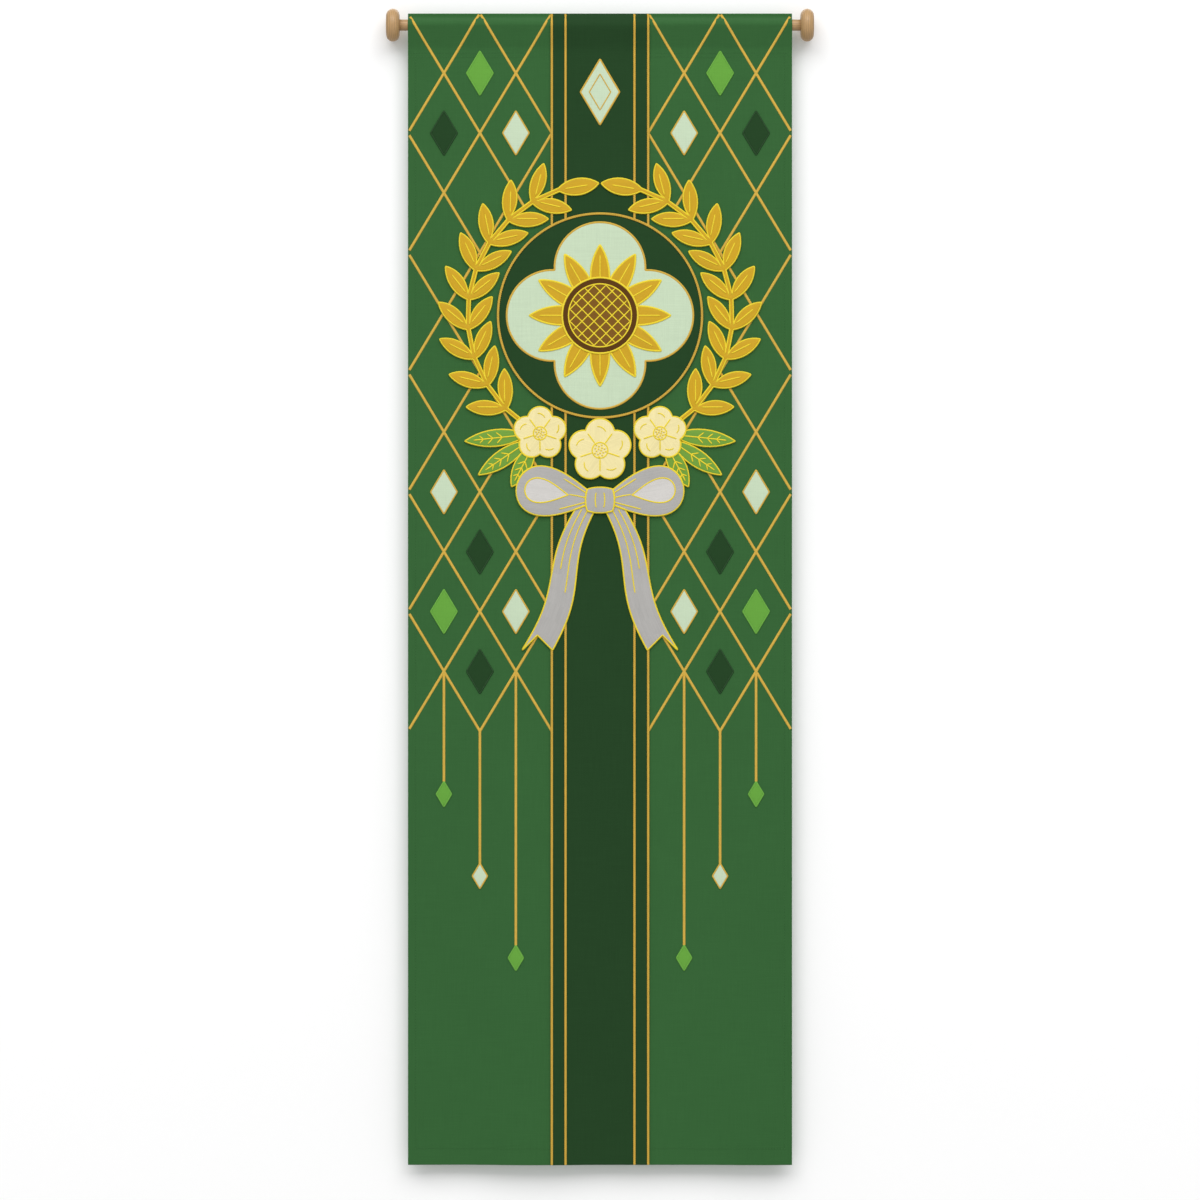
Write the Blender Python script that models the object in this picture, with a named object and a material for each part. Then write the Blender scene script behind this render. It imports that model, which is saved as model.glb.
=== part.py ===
"""A long banner of green cloth that hangs on a wooden rod, with sewn-on cloth pieces and gold braid.

Units are metres. X is to the right as the banner is seen, -Y is towards the viewer and Z is up.
The origin is the middle of the rod's axis. Brackets under the rod's two bare ends hold it up.
"""

import math

import bmesh
import bpy
from mathutils import Vector

# The cloth
CLOTH_WIDTH = 0.610
CLOTH_HEIGHT = 1.829
CLOTH_THICKNESS = 0.0012
TOP = 0.0184  # the cloth's top edge above the rod's axis
BOTTOM = TOP - CLOTH_HEIGHT
CLEAR = 0.0003  # the gap between pieces that touch
LAYER_GAP = 0.0004  # between the two layers of the heading
SIDE_HEM = 0.015
BOTTOM_HEM = 0.030
HEM_TURN = 0.001  # what the turned-in cloth adds behind a hem
HEM_STEP = 0.001

# The rod and its end caps
ROD_RADIUS = 0.009
BARE_ROD = 0.0135  # between the cloth's side and a cap
CAP_RADIUS = 0.026
CAP_THICKNESS = 0.021
SOCKET_DEPTH = 0.012
ROUND_STEPS = 36

# The pocket that the rod runs through, in section
LEAVE_TOP = math.radians(35)  # where the cloth leaves the rod above, from straight up
LEAVE_BOTTOM = math.radians(14)  # how far the cloth below the rod leans in to the seam
HEADING_CURVE = 0.005
SEAM_CURVE = 0.040
POCKET_FLAP = 0.013  # the back layer below the pocket's seam

# The soft waves of the lower cloth
SWAY_START = -1.050
SWAY_DEPTH = 0.004
SWAY_ROWS = 12
WAVES = ((0.7, 0.330, 0.4), (0.3, 0.190, 2.1))  # share, wavelength, phase

# Layers of sewn-on cloth, each lying on the one before it
PIECE_THICKNESS = 0.001
LAYER_PITCH = PIECE_THICKNESS + CLEAR
BAND_HALF_WIDTH = 0.0765
BAND_COLUMN = BAND_HALF_WIDTH / 3
BRAID_WIDTH = 0.0043
BRAID_LINES = (-0.0765, -0.0547, 0.0547, 0.0765)

# The round panel and the flower on it
MEDALLION = Vector((0, TOP - 0.480))
DISC_RADIUS = 0.162
FOIL_DISTANCE = 0.076
FOIL_RADIUS = 0.072
PETALS = 12
PETAL_ROOT = 0.056
PETAL_TIP = 0.112
PETAL_RISE = 0.005
HEART_RADIUS = 0.060

# The wreath
WREATH_RADIUS = 0.210
STEM_START = math.radians(-57)
WREATH_START = math.radians(-45)
WREATH_END = math.radians(72)
LEAF_PAIRS = 9
LEAF_LENGTH = 0.064
LEAF_WIDTH = 0.023
LEAF_LEAN = math.radians(42)
LEAF_STALK = 0.007
STEM_WIDTH = 0.005

# The roses and the green leaves at the wreath's foot
ROSE_LOBES = 5
LOBE_SHARE = 0.46  # a lobe's radius as a share of the rose's
ROSES = (("left", -0.0953, -0.187, 0.042), ("middle", 0, -0.214, 0.050), ("right", 0.0953, -0.187, 0.042))
SPRAY = ((-6, 0.100), (-34, 0.098), (-62, 0.076))  # direction in degrees, length
SPRAY_ROOT = 0.020  # from the side rose's middle
SPRAY_WIDTH = 0.026

# The ribbon bow
KNOT = MEDALLION + Vector((0, -0.293))
KNOT_HALF = Vector((0.020, 0.017))
KNOT_RISE = 0.003
LOOP_LENGTH = 0.134
LOOP_WIDTH = 0.078
LOOP_TILT = math.radians(9)
LOOP_POWER = 1.3
TAIL_LENGTH = 0.238
TAIL_SPREAD = 0.084
TAIL_WAVE = 0.008
TAIL_WIDTHS = (0.030, 0.048)  # at the knot and at the end
TAIL_NOTCH = 0.024

# The lozenges on the two side panels
COLUMNS = 4
CELL = Vector(((CLOTH_WIDTH / 2 - BAND_HALF_WIDTH) / COLUMNS, 0.095))
LOZENGE_HALF = Vector((0.021, 0.035))
LOZENGES = (  # column, row, cloth
    (2, 1, "bright"),
    (1, 2, "mint"),
    (3, 2, "dark"),
    (3, 8, "mint"),
    (2, 9, "dark"),
    (1, 10, "mint"),
    (3, 10, "bright"),
    (2, 11, "dark"),
)
PENDANTS = ((1, 1.500, "bright"), (2, 1.370, "mint"), (3, 1.240, "bright"))  # column, drop, cloth
PENDANT_HALF = Vector((0.012, 0.020))
TOP_LOZENGE = Vector((0, TOP - 0.125))
TOP_LOZENGE_HALF = Vector((0.031, 0.052))

# Colours as red, green and blue of 0 to 255, then roughness
FINISHES = {
    "ground": ((56, 102, 56), 0.85),
    "dark": ((38, 69, 38), 0.85),
    "bright": ((106, 168, 67), 0.8),
    "mint": ((203, 222, 192), 0.8),
    "leaf": ((116, 162, 62), 0.8),
    "ochre": ((209, 166, 35), 0.7),
    "cream": ((246, 232, 172), 0.8),
    "brown": ((128, 90, 38), 0.8),
    "silver": ((180, 178, 175), 0.6),
    "gold": ((206, 168, 68), 0.5),
    "wood": ((184, 149, 107), 0.55),
}

HALF = CLOTH_THICKNESS / 2
FRONT = HALF + LAYER_GAP / 2  # the front layer's middle, in front of the rod's axis plane
FLAT_ANGLE = math.radians(0.05)


def linear(value):
    """A colour value of 0 to 255 in linear light."""
    share = value / 255
    return share / 12.92 if share <= 0.04045 else ((share + 0.055) / 1.055) ** 2.4


def finish(name):
    """The material of that name, made when it is first asked for."""
    made = bpy.data.materials.get(name)
    if made:
        return made
    colour, roughness = FINISHES[name]
    made = bpy.data.materials.new(name)
    made.use_nodes = True
    shader = made.node_tree.nodes["Principled BSDF"]
    shader.inputs["Base Color"].default_value = [*map(linear, colour), 1]
    shader.inputs["Roughness"].default_value = roughness
    made.diffuse_color = [*map(linear, colour), 1]
    return made


def keep(name, mesh, material, smooth=False):
    """Turns a bmesh into a named object with its faces pointing out."""
    bmesh.ops.recalc_face_normals(mesh, faces=mesh.faces)
    data = bpy.data.meshes.new(name)
    mesh.to_mesh(data)
    mesh.free()
    if smooth:
        data.shade_smooth()
        data.set_sharp_from_angle(angle=math.radians(40))
    data.materials.append(finish(material))
    piece = bpy.data.objects.new(name, data)
    bpy.context.scene.collection.objects.link(piece)
    return piece


def sway(x, z):
    """How far the lower cloth stands back at a place, from nothing at the start to most at the hem."""
    share = min(max((SWAY_START - z) / (SWAY_START - BOTTOM), 0), 1)
    ramp = share * share * (3 - 2 * share)
    waves = sum(part * math.sin(math.tau * x / length + phase) for part, length, phase in WAVES)
    return SWAY_DEPTH * ramp * waves


def spaced(start, end, steps):
    """The steps + 1 evenly spaced values from start to end."""
    return [start + (end - start) * i / steps for i in range(steps + 1)]


def section(y, z, normal_y, normal_z):
    """One point of the cloth's middle line in the Y-Z plane, with the normal of the cloth's outer face."""
    return Vector((y, z)), Vector((normal_y, normal_z))


def pocket_line():
    """The front layer's middle line round the rod, from the top fold down to the pocket's seam."""
    wrap = ROD_RADIUS + CLEAR + HALF
    lean, drop = LEAVE_TOP, LEAVE_BOTTOM
    rise = (wrap * math.sin(lean) - FRONT - HEADING_CURVE * (1 - math.sin(lean))) / math.cos(lean)
    heading = wrap * math.cos(lean) + rise * math.sin(lean) + HEADING_CURVE * math.cos(lean)
    fall = (wrap * math.cos(drop) - FRONT - SEAM_CURVE * (1 - math.cos(drop))) / math.sin(drop)
    seam = -wrap * math.sin(drop) - fall * math.cos(drop) - SEAM_CURVE * math.sin(drop)
    line = [section(-FRONT, TOP - FRONT - HALF, -1, 0)]
    for turn in spaced(0, math.pi / 2 - lean, 5):
        c, s = math.cos(turn), math.sin(turn)
        line.append(section(-FRONT - HEADING_CURVE * (1 - c), heading - HEADING_CURVE * s, -c, s))
    for turn in spaced(lean, math.pi / 2 + drop, 9):
        c, s = math.cos(turn), math.sin(turn)
        line.append(section(-wrap * s, wrap * c, -s, c))
    for turn in spaced(drop, 0, 4):
        c, s = math.cos(turn), math.sin(turn)
        line.append(section(-FRONT - SEAM_CURVE * (1 - c), seam + SEAM_CURVE * s, -c, -s))
    return line


POCKET = pocket_line()
SEAM = POCKET[-1][0].y
HEM_START = SEAM - POCKET_FLAP - HEM_STEP


def plumb(heights):
    """The front layer's middle line at those heights below the pocket."""
    return [section(-FRONT, z, -1, 0) for z in heights]


def hanging_heights():
    """The heights of the front layer's rows below the pocket's seam."""
    hem_top = BOTTOM + BOTTOM_HEM
    rows = [HEM_START, HEM_START - HEM_STEP, *spaced(SWAY_START, hem_top + HEM_STEP, SWAY_ROWS)]
    return [*rows, hem_top, BOTTOM]


def front_rows(top, bottom):
    """The front layer's middle line between two heights, for what is sewn on it."""
    between = [row for row in [*POCKET, *plumb(hanging_heights())] if bottom < row[0].y < top]
    return [*plumb([top]), *between, *plumb([bottom])]


def off_cloth(x, row, height):
    """A point on a row of the cloth, that far in front of the cloth's outer face."""
    place, normal = row
    place = place + normal * (HALF + height)
    return Vector((x, place.x + sway(x, place.y), place.y))


def layer_height(layer):
    """How far the back of a layer of sewn-on cloth lies in front of the ground cloth."""
    return CLEAR + layer * LAYER_PITCH


def on_front(place, height):
    """A point in front of the hanging cloth at that place across and up."""
    return off_cloth(place.x, section(-FRONT, place.y, -1, 0), height)


def grid_solid(name, outer, inner, material):
    """A closed solid between two grids of points, with coplanar faces joined."""
    mesh = bmesh.new()
    rows, columns = len(outer), len(outer[0])
    near, far = ([[mesh.verts.new(point) for point in row] for row in grid] for grid in (outer, inner))
    for grid in (near, far):
        for i in range(rows - 1):
            for j in range(columns - 1):
                mesh.faces.new((grid[i][j], grid[i][j + 1], grid[i + 1][j + 1], grid[i + 1][j]))
    rim = [(0, j) for j in range(columns)]
    rim += [(i, columns - 1) for i in range(1, rows)]
    rim += [(rows - 1, j) for j in range(columns - 2, -1, -1)]
    rim += [(i, 0) for i in range(rows - 2, 0, -1)]
    for (i, j), (k, m) in zip(rim, rim[1:] + rim[:1]):
        mesh.faces.new((near[i][j], near[k][m], far[k][m], far[i][j]))
    bmesh.ops.recalc_face_normals(mesh, faces=mesh.faces)
    bmesh.ops.dissolve_limit(mesh, angle_limit=FLAT_ANGLE, verts=mesh.verts, edges=mesh.edges)
    return keep(name, mesh, material)


def banner_cloth():
    """The ground cloth with its hems, folded over at the top and down behind the rod to the pocket's seam."""
    front = [*POCKET, *plumb(hanging_heights())]
    fold_centre = TOP - FRONT - HALF
    fold = []
    for turn in spaced(0, math.pi, 6)[1:-1]:
        c, s = math.cos(turn), math.sin(turn)
        fold.append(section(-FRONT * c, fold_centre + FRONT * s, -c, s))
    back = [section(-place.x, place.y, -normal.x, normal.y) for place, normal in POCKET]
    flap_end = section(FRONT, SEAM - POCKET_FLAP, 1, 0)
    rows = [*reversed(front), *fold, *back, flap_end]
    middle_columns = int(CLOTH_WIDTH / 2 / BAND_COLUMN)
    half = [BAND_COLUMN * i for i in range(1, middle_columns)]
    half += [CLOTH_WIDTH / 2 - SIDE_HEM - HEM_STEP, CLOTH_WIDTH / 2 - SIDE_HEM, CLOTH_WIDTH / 2]
    columns = [*(-x for x in reversed(half)), 0, *half]

    def depth(x, row):
        in_side_hem = abs(x) > CLOTH_WIDTH / 2 - SIDE_HEM - HEM_STEP / 2
        in_bottom_hem = row[0].y < BOTTOM + BOTTOM_HEM + HEM_STEP / 2
        hangs = row[0].y < HEM_START - HEM_STEP / 2
        return CLOTH_THICKNESS + (HEM_TURN if hangs and (in_side_hem or in_bottom_hem) else 0)

    outer = [[off_cloth(x, row, 0) for x in columns] for row in rows]
    inner = [[off_cloth(x, row, -depth(x, row)) for x in columns] for row in rows]
    grid_solid("banner_cloth", outer, inner, "ground")


def centre_band():
    """The dark band that runs down the middle of the front from edge to edge."""
    rows = front_rows(TOP, BOTTOM)
    columns = [BAND_COLUMN * i for i in range(-3, 4)]
    back, front = layer_height(0), layer_height(0) + PIECE_THICKNESS
    outer = [[off_cloth(x, row, front) for x in columns] for row in rows]
    inner = [[off_cloth(x, row, back) for x in columns] for row in rows]
    grid_solid("centre_band", outer, inner, "dark")


def braid_line(name, x, top, bottom):
    """A length of gold braid with rounded sides, sewn straight down the front."""
    rows = front_rows(top, bottom)
    half = BRAID_WIDTH / 2
    columns = [x - half, x - half / 2, x + half / 2, x + half]
    back = layer_height(1)
    fronts = [back + PIECE_THICKNESS * share for share in (0.5, 1, 1, 0.5)]
    outer = [[off_cloth(column, row, front) for column, front in zip(columns, fronts)] for row in rows]
    inner = [[off_cloth(x, row, back) for x in columns] for row in rows]
    grid_solid(name, outer, inner, "gold")


def band_braids():
    """Two lines of braid along each side of the band, which stop at the round panel's own braid."""
    reach = DISC_RADIUS + BRAID_WIDTH / 2 + CLEAR
    for i, x in enumerate(BRAID_LINES, 1):
        stop = math.sqrt(reach**2 - (abs(x) - BRAID_WIDTH / 2) ** 2)
        braid_line(f"braid_upper_{i}", x, TOP, MEDALLION.y + stop)
        braid_line(f"braid_lower_{i}", x, MEDALLION.y - stop, BOTTOM)


def cut_piece(name, outline, layer, material):
    """A piece of cloth cut to an outline of (x, z) points and sewn on flat at its layer."""
    mesh = bmesh.new()
    back = [mesh.verts.new(on_front(place, layer_height(layer))) for place in outline]
    front = [mesh.verts.new(on_front(place, layer_height(layer) + PIECE_THICKNESS)) for place in outline]
    mesh.faces.new(back)
    mesh.faces.new(front)
    for i in range(len(outline)):
        mesh.faces.new((back[i - 1], back[i], front[i], front[i - 1]))
    return keep(name, mesh, material)


def turned(name, profile, place, material):
    """A solid turned from a closed profile of (radius, along) points. place maps (u, v, along) to a point."""
    mesh = bmesh.new()
    rings = []
    for i in range(ROUND_STEPS):
        angle = math.tau * i / ROUND_STEPS
        c, s = math.cos(angle), math.sin(angle)
        rings.append([mesh.verts.new(place(radius * c, radius * s, along)) for radius, along in profile])
    for i in range(ROUND_STEPS):
        for j in range(len(profile)):
            if profile[j][0] or profile[j - 1][0]:
                mesh.faces.new((rings[i - 1][j - 1], rings[i - 1][j], rings[i][j], rings[i][j - 1]))
    bmesh.ops.remove_doubles(mesh, verts=mesh.verts, dist=1e-6)
    return keep(name, mesh, material, smooth=True)


def along_x(u, v, along):
    """A turned point of the rod or a cap."""
    return Vector((along, u, v))


def rod():
    """The plain round rod, which ends inside the caps' sockets."""
    end = CLOTH_WIDTH / 2 + BARE_ROD + SOCKET_DEPTH - CLEAR
    turned("rod", [(0, -end), (ROD_RADIUS, -end), (ROD_RADIUS, end), (0, end)], along_x, "wood")


def cap(name, side):
    """A turned wooden disc with a full round edge, flat faces and a blind socket for the rod."""
    inner = CLOTH_WIDTH / 2 + BARE_ROD
    outer = inner + CAP_THICKNESS
    edge = CAP_THICKNESS / 2
    socket = ROD_RADIUS + CLEAR
    profile = [(0, outer)]
    for turn in spaced(0, math.pi, 10):
        profile.append((CAP_RADIUS - edge * (1 - math.sin(turn)), inner + edge * (1 + math.cos(turn))))
    profile += [(socket, inner), (socket, inner + SOCKET_DEPTH), (0, inner + SOCKET_DEPTH)]
    turned(name, [(radius, side * along) for radius, along in profile], along_x, "wood")


def disc_braid():
    """The ring of gold braid that covers the round panel's cut edge."""
    half = BRAID_WIDTH / 2
    back = FRONT + HALF + layer_height(2)
    full, low = back + PIECE_THICKNESS, back + PIECE_THICKNESS / 2
    right = [(half, back), (half, low), (half / 2, full)]
    corners = right + [(-across, depth) for across, depth in reversed(right)]
    profile = [(DISC_RADIUS + across, -depth) for across, depth in corners]
    turned("disc_braid", profile, lambda u, v, along: Vector((u, along, MEDALLION.y + v)), "gold")


def polar(centre, radius, angle):
    """The point at a radius and angle round a centre."""
    return centre + radius * Vector((math.cos(angle), math.sin(angle)))


def circle(centre, radius, steps):
    """Points evenly round a circle."""
    return [polar(centre, radius, math.tau * i / steps) for i in range(steps)]


def bulge(start, end, rise, steps=4):
    """Points on the arc from start up to, but without, end. It bulges by rise to the right of its way."""
    chord = end - start
    right = Vector((chord.y, -chord.x)).normalized()
    radius = (chord.length_squared / 4 + rise * rise) / (2 * rise)
    centre = (start + end) / 2 - right * (radius - rise)
    first = math.atan2(start.y - centre.y, start.x - centre.x)
    sweep = 2 * math.asin(min(chord.length / 2 / radius, 1))
    return [polar(centre, radius, first + sweep * i / steps) for i in range(steps)]


def foil(centre, lobes, distance, radius, start, steps):
    """The outline of that many round lobes about a centre, joined where they cross."""
    half = math.pi / lobes
    cusp = distance * math.cos(half) + math.sqrt(radius**2 - (distance * math.sin(half)) ** 2)
    reach = math.atan2(cusp * math.sin(half), cusp * math.cos(half) - distance)
    outline = []
    for i in range(lobes):
        axis = start + math.tau * i / lobes
        middle = polar(centre, distance, axis)
        outline += [polar(middle, radius, axis + turn) for turn in spaced(-reach, reach, steps)[:-1]]
    return outline


def mirrored(outline):
    """The same outline on the other side of the banner's middle."""
    return [Vector((-place.x, place.y)) for place in reversed(outline)]


def lozenge(centre, half):
    """An upright diamond."""
    return [centre + Vector((half.x * u, half.y * v)) for u, v in ((1, 0), (0, 1), (-1, 0), (0, -1))]


def round_panel():
    """The dark disc, the pale four-lobed piece on it, and the flower on that."""
    cut_piece("round_panel", circle(MEDALLION, DISC_RADIUS, 48), 1, "dark")
    disc_braid()
    cut_piece("quatrefoil", foil(MEDALLION, 4, FOIL_DISTANCE, FOIL_RADIUS, 0, 14), 2, "mint")
    outline = []
    step = math.tau / PETALS
    for i in range(PETALS):
        root = polar(MEDALLION, PETAL_ROOT, step * (i - 0.5))
        tip = polar(MEDALLION, PETAL_TIP, step * i)
        next_root = polar(MEDALLION, PETAL_ROOT, step * (i + 0.5))
        outline += bulge(root, tip, PETAL_RISE) + bulge(tip, next_root, PETAL_RISE)
    cut_piece("flower_petals", outline, 3, "ochre")
    cut_piece("flower_heart", circle(MEDALLION, HEART_RADIUS, 36), 4, "brown")


def wreath_branch():
    """The right branch: a stem that follows a circle, with pairs of leaves and one at its end."""
    turn = (WREATH_END - WREATH_START) / LEAF_PAIRS
    stalk = LEAF_STALK / WREATH_RADIUS

    def leaf_tip(angle, side):
        along = Vector((-math.sin(angle), math.cos(angle))) * math.cos(LEAF_LEAN)
        out = Vector((math.cos(angle), math.sin(angle))) * math.sin(LEAF_LEAN)
        return polar(MEDALLION, WREATH_RADIUS, angle) + LEAF_LENGTH * (along + side * out)

    def side_leaf(angle, side):
        edge = WREATH_RADIUS + side * STEM_WIDTH / 2
        low, high = polar(MEDALLION, edge, angle), polar(MEDALLION, edge, angle + stalk)
        first, last = (low, high) if side > 0 else (high, low)
        tip = leaf_tip(angle, side)
        rise = (LEAF_WIDTH - LEAF_STALK / 2) / 2
        return [*bulge(first, tip, rise), *bulge(tip, last, rise), last]

    angles = [WREATH_START + turn * i for i in range(LEAF_PAIRS)]
    outline = [polar(MEDALLION, WREATH_RADIUS + STEM_WIDTH / 2, STEM_START)]
    outline += [place for angle in angles for place in side_leaf(angle, 1)]
    end_low = polar(MEDALLION, WREATH_RADIUS + STEM_WIDTH / 2, WREATH_END)
    end_high = polar(MEDALLION, WREATH_RADIUS - STEM_WIDTH / 2, WREATH_END)
    tip = polar(MEDALLION, WREATH_RADIUS, WREATH_END + LEAF_LENGTH / WREATH_RADIUS)
    outline += [*bulge(end_low, tip, LEAF_WIDTH / 2), *bulge(tip, end_high, LEAF_WIDTH / 2), end_high]
    outline += [place for angle in reversed(angles) for place in side_leaf(angle, -1)]
    return [*outline, polar(MEDALLION, WREATH_RADIUS - STEM_WIDTH / 2, STEM_START)]


def wreath():
    """Both branches."""
    branch = wreath_branch()
    cut_piece("wreath_right", branch, 2, "ochre")
    cut_piece("wreath_left", mirrored(branch), 2, "ochre")


def foot_of_wreath():
    """Green leaves that spread from behind three cream roses."""
    middle = MEDALLION + Vector(ROSES[-1][1:3])
    for i, (direction, length) in enumerate(SPRAY, 1):
        root = polar(middle, SPRAY_ROOT, math.radians(direction))
        tip = polar(root, length, math.radians(direction))
        outline = bulge(root, tip, SPRAY_WIDTH / 2) + bulge(tip, root, SPRAY_WIDTH / 2)
        cut_piece(f"leaf_right_{i}", outline, 2, "leaf")
        cut_piece(f"leaf_left_{i}", mirrored(outline), 2, "leaf")
    for name, x, z, radius in ROSES:
        centre = MEDALLION + Vector((x, z))
        outline = foil(centre, ROSE_LOBES, radius * (1 - LOBE_SHARE), radius * LOBE_SHARE, math.pi / 2, 7)
        cut_piece(f"rose_{name}", outline, 3, "cream")


def bow():
    """The ribbon bow: two loops over two notched tails, and the knot over all."""
    turns = [math.tau * i / 20 for i in range(20)]
    swell = [math.sin(turn) * math.sin(turn / 2) ** LOOP_POWER for turn in turns]
    loop = []
    for turn, width in zip(turns, swell):
        along = LOOP_LENGTH * (1 - math.cos(turn)) / 2
        across = -LOOP_WIDTH / 2 * width / max(swell)
        c, s = math.cos(LOOP_TILT), math.sin(LOOP_TILT)
        loop.append(KNOT + Vector((along * c - across * s, along * s + across * c)))
    cut_piece("bow_loop_right", loop, 3, "silver")
    cut_piece("bow_loop_left", mirrored(loop), 3, "silver")
    left, right = [], []
    for share in spaced(0, 1, 8):
        middle = CLEAR + TAIL_WIDTHS[0] / 2 + TAIL_SPREAD * share + TAIL_WAVE * math.sin(math.tau * share)
        half = (TAIL_WIDTHS[0] + (TAIL_WIDTHS[1] - TAIL_WIDTHS[0]) * share) / 2
        z = KNOT.y - TAIL_LENGTH * share
        left.append(Vector((middle - half, z)))
        right.append(Vector((middle + half, z)))
    notch = (left[-1] + right[-1]) / 2 + Vector((0, TAIL_NOTCH))
    tail = [*left, notch, *reversed(right)]
    cut_piece("bow_tail_right", tail, 2, "silver")
    cut_piece("bow_tail_left", mirrored(tail), 2, "silver")
    corners = [KNOT + KNOT_HALF * Vector(sides) for sides in ((-1, -1), (1, -1), (1, 1), (-1, 1))]
    outline = [place for i in range(4) for place in bulge(corners[i - 1], corners[i], KNOT_RISE)]
    cut_piece("bow_knot", outline, 4, "silver")


def lozenges():
    """The lozenges of the side panels' trellis, and the small ones that end its hanging lines."""
    for side, name in ((-1, "left"), (1, "right")):
        for i, (column, row, material) in enumerate(LOZENGES, 1):
            centre = Vector((side * (BAND_HALF_WIDTH + CELL.x * column), TOP - CELL.y * row))
            cut_piece(f"lozenge_{name}_{i}", lozenge(centre, LOZENGE_HALF), 0, material)
        for column, drop, material in PENDANTS:
            centre = Vector((side * (BAND_HALF_WIDTH + CELL.x * column), TOP - drop))
            cut_piece(f"pendant_{name}_{column}", lozenge(centre, PENDANT_HALF), 0, material)
    cut_piece("top_lozenge", lozenge(TOP_LOZENGE, TOP_LOZENGE_HALF), 1, "mint")


def main():
    for old in list(bpy.data.objects):
        bpy.data.objects.remove(old, do_unlink=True)
    banner_cloth()
    rod()
    cap("cap_left", -1)
    cap("cap_right", 1)
    centre_band()
    band_braids()
    round_panel()
    wreath()
    foot_of_wreath()
    bow()
    lozenges()


main()
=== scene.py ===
# %% [markdown]
# # A banner that hangs from a wooden rod
# A long green cloth, a dark band down its middle, gold braid, and a wreath, a flower and a bow cut from
# cloth and sewn on. The CAD model gives the true size and place of every piece. This lesson gives each
# piece its cloth, thread or wood. Lengths are in metres, X is to the right and -Y is towards the viewer.

import math

import bmesh
import bpy
import numpy as np
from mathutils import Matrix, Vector
from mathutils.geometry import delaunay_2d_cdt


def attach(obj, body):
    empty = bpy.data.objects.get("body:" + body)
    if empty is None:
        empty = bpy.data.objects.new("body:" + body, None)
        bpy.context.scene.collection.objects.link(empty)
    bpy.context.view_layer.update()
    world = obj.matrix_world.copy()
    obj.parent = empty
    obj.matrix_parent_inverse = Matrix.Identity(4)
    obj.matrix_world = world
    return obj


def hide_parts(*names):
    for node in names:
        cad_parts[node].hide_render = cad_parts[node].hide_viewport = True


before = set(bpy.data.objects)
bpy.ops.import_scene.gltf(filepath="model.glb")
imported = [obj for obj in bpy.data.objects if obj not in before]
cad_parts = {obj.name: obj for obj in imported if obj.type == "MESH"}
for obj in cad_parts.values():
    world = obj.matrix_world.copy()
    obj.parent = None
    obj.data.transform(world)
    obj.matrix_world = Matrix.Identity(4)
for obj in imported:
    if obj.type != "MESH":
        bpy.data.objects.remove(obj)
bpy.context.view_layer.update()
print(len(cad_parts), "nodes to dress")

# %% [markdown]
# ## Sizes
# The pieces are cut to the same sizes as the solids, so the numbers are repeated here under plain names.
# Everything else is worked out from them.

# %% Sizes of the cloth, the rod and the layers
WIDTH = 0.610
THICK = 0.0012
TOP = 0.0184
BOTTOM = TOP - 1.829
CLEAR = 0.0003
SIDE_HEM = 0.015
BOTTOM_HEM = 0.030
HEM_TURN = 0.001
ROD_RADIUS = 0.009
BARE_ROD = 0.0135
CAP_RADIUS = 0.026
CAP_THICK = 0.021
PIECE = 0.001
PITCH = PIECE + CLEAR
BAND_HALF = 0.0765
BRAID_WIDTH = 0.0043
BRAID_LINES = (-0.0765, -0.0547, 0.0547, 0.0765)
MIDDLE = Vector((0, TOP - 0.480))
DISC_RADIUS = 0.162
HALF = THICK / 2
FRONT = HALF + 0.0002
print("cloth", WIDTH, "by", round(TOP - BOTTOM, 3))

# %% [markdown]
# ## The line that the cloth follows
# Seen from the side, the cloth folds over at the top, runs round the front of the rod, comes back in to
# the seam below it and then hangs plumb. The line is a list of rows: place in Y and Z, and the direction
# in which the outer face looks. A real pocket is drawn in by its own weight, so arcs join the straights.


# %% The pocket round the rod
def steps(start, end, count):
    """Evenly spaced values with both ends."""
    return [start + (end - start) * i / count for i in range(count + 1)]


def arc_rows(y, z, radius, turns):
    """Rows round a centre, from straight ahead upwards. A negative radius bends them the other way."""
    return [(y - radius * math.cos(t), z + radius * math.sin(t), -math.cos(t), math.sin(t)) for t in turns]


def pocket_rows():
    """The front layer from the top fold down to the pocket's seam."""
    wrap = ROD_RADIUS + CLEAR + HALF
    lean, drop = math.radians(35), math.radians(14)
    curve, seam_curve = 0.005, 0.040
    rise = (wrap * math.sin(lean) - FRONT - curve * (1 - math.sin(lean))) / math.cos(lean)
    heading = wrap * math.cos(lean) + rise * math.sin(lean) + curve * math.cos(lean)
    fall = (wrap * math.cos(drop) - FRONT - seam_curve * (1 - math.cos(drop))) / math.sin(drop)
    seam = -wrap * math.sin(drop) - fall * math.cos(drop) - seam_curve * math.sin(drop)
    rows = [(-FRONT, z, -1, 0) for z in steps(TOP - FRONT - HALF, heading, 3)[:-1]]
    rows += arc_rows(-FRONT - curve, heading, -curve, steps(0, math.pi / 2 - lean, 8))
    rows += arc_rows(0, 0, wrap, steps(math.pi / 2 - lean, -drop, 14))
    low = arc_rows(-FRONT - seam_curve, seam, -seam_curve, steps(-drop, 0, 6))
    straight = list(zip(rows[-1], low[0]))
    rows += [tuple(a + (b - a) * share for a, b in straight) for share in steps(0, 1, 5)[1:-1]]
    return rows + low


POCKET = np.array(pocket_rows())
SEAM = POCKET[-1, 1]
print("the pocket's seam is", round(-SEAM * 1000, 1), "mm below the rod's axis")

# %% [markdown]
# ## How the cloth hangs
# The lower cloth waves by a few millimetres, as any hem with nothing sewn to it does. Over the whole
# height there is a softer unevenness of half a millimetre, because no hanging cloth is a true plane.
# Sums of a few sine waves give both, the same on every run.

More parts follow.
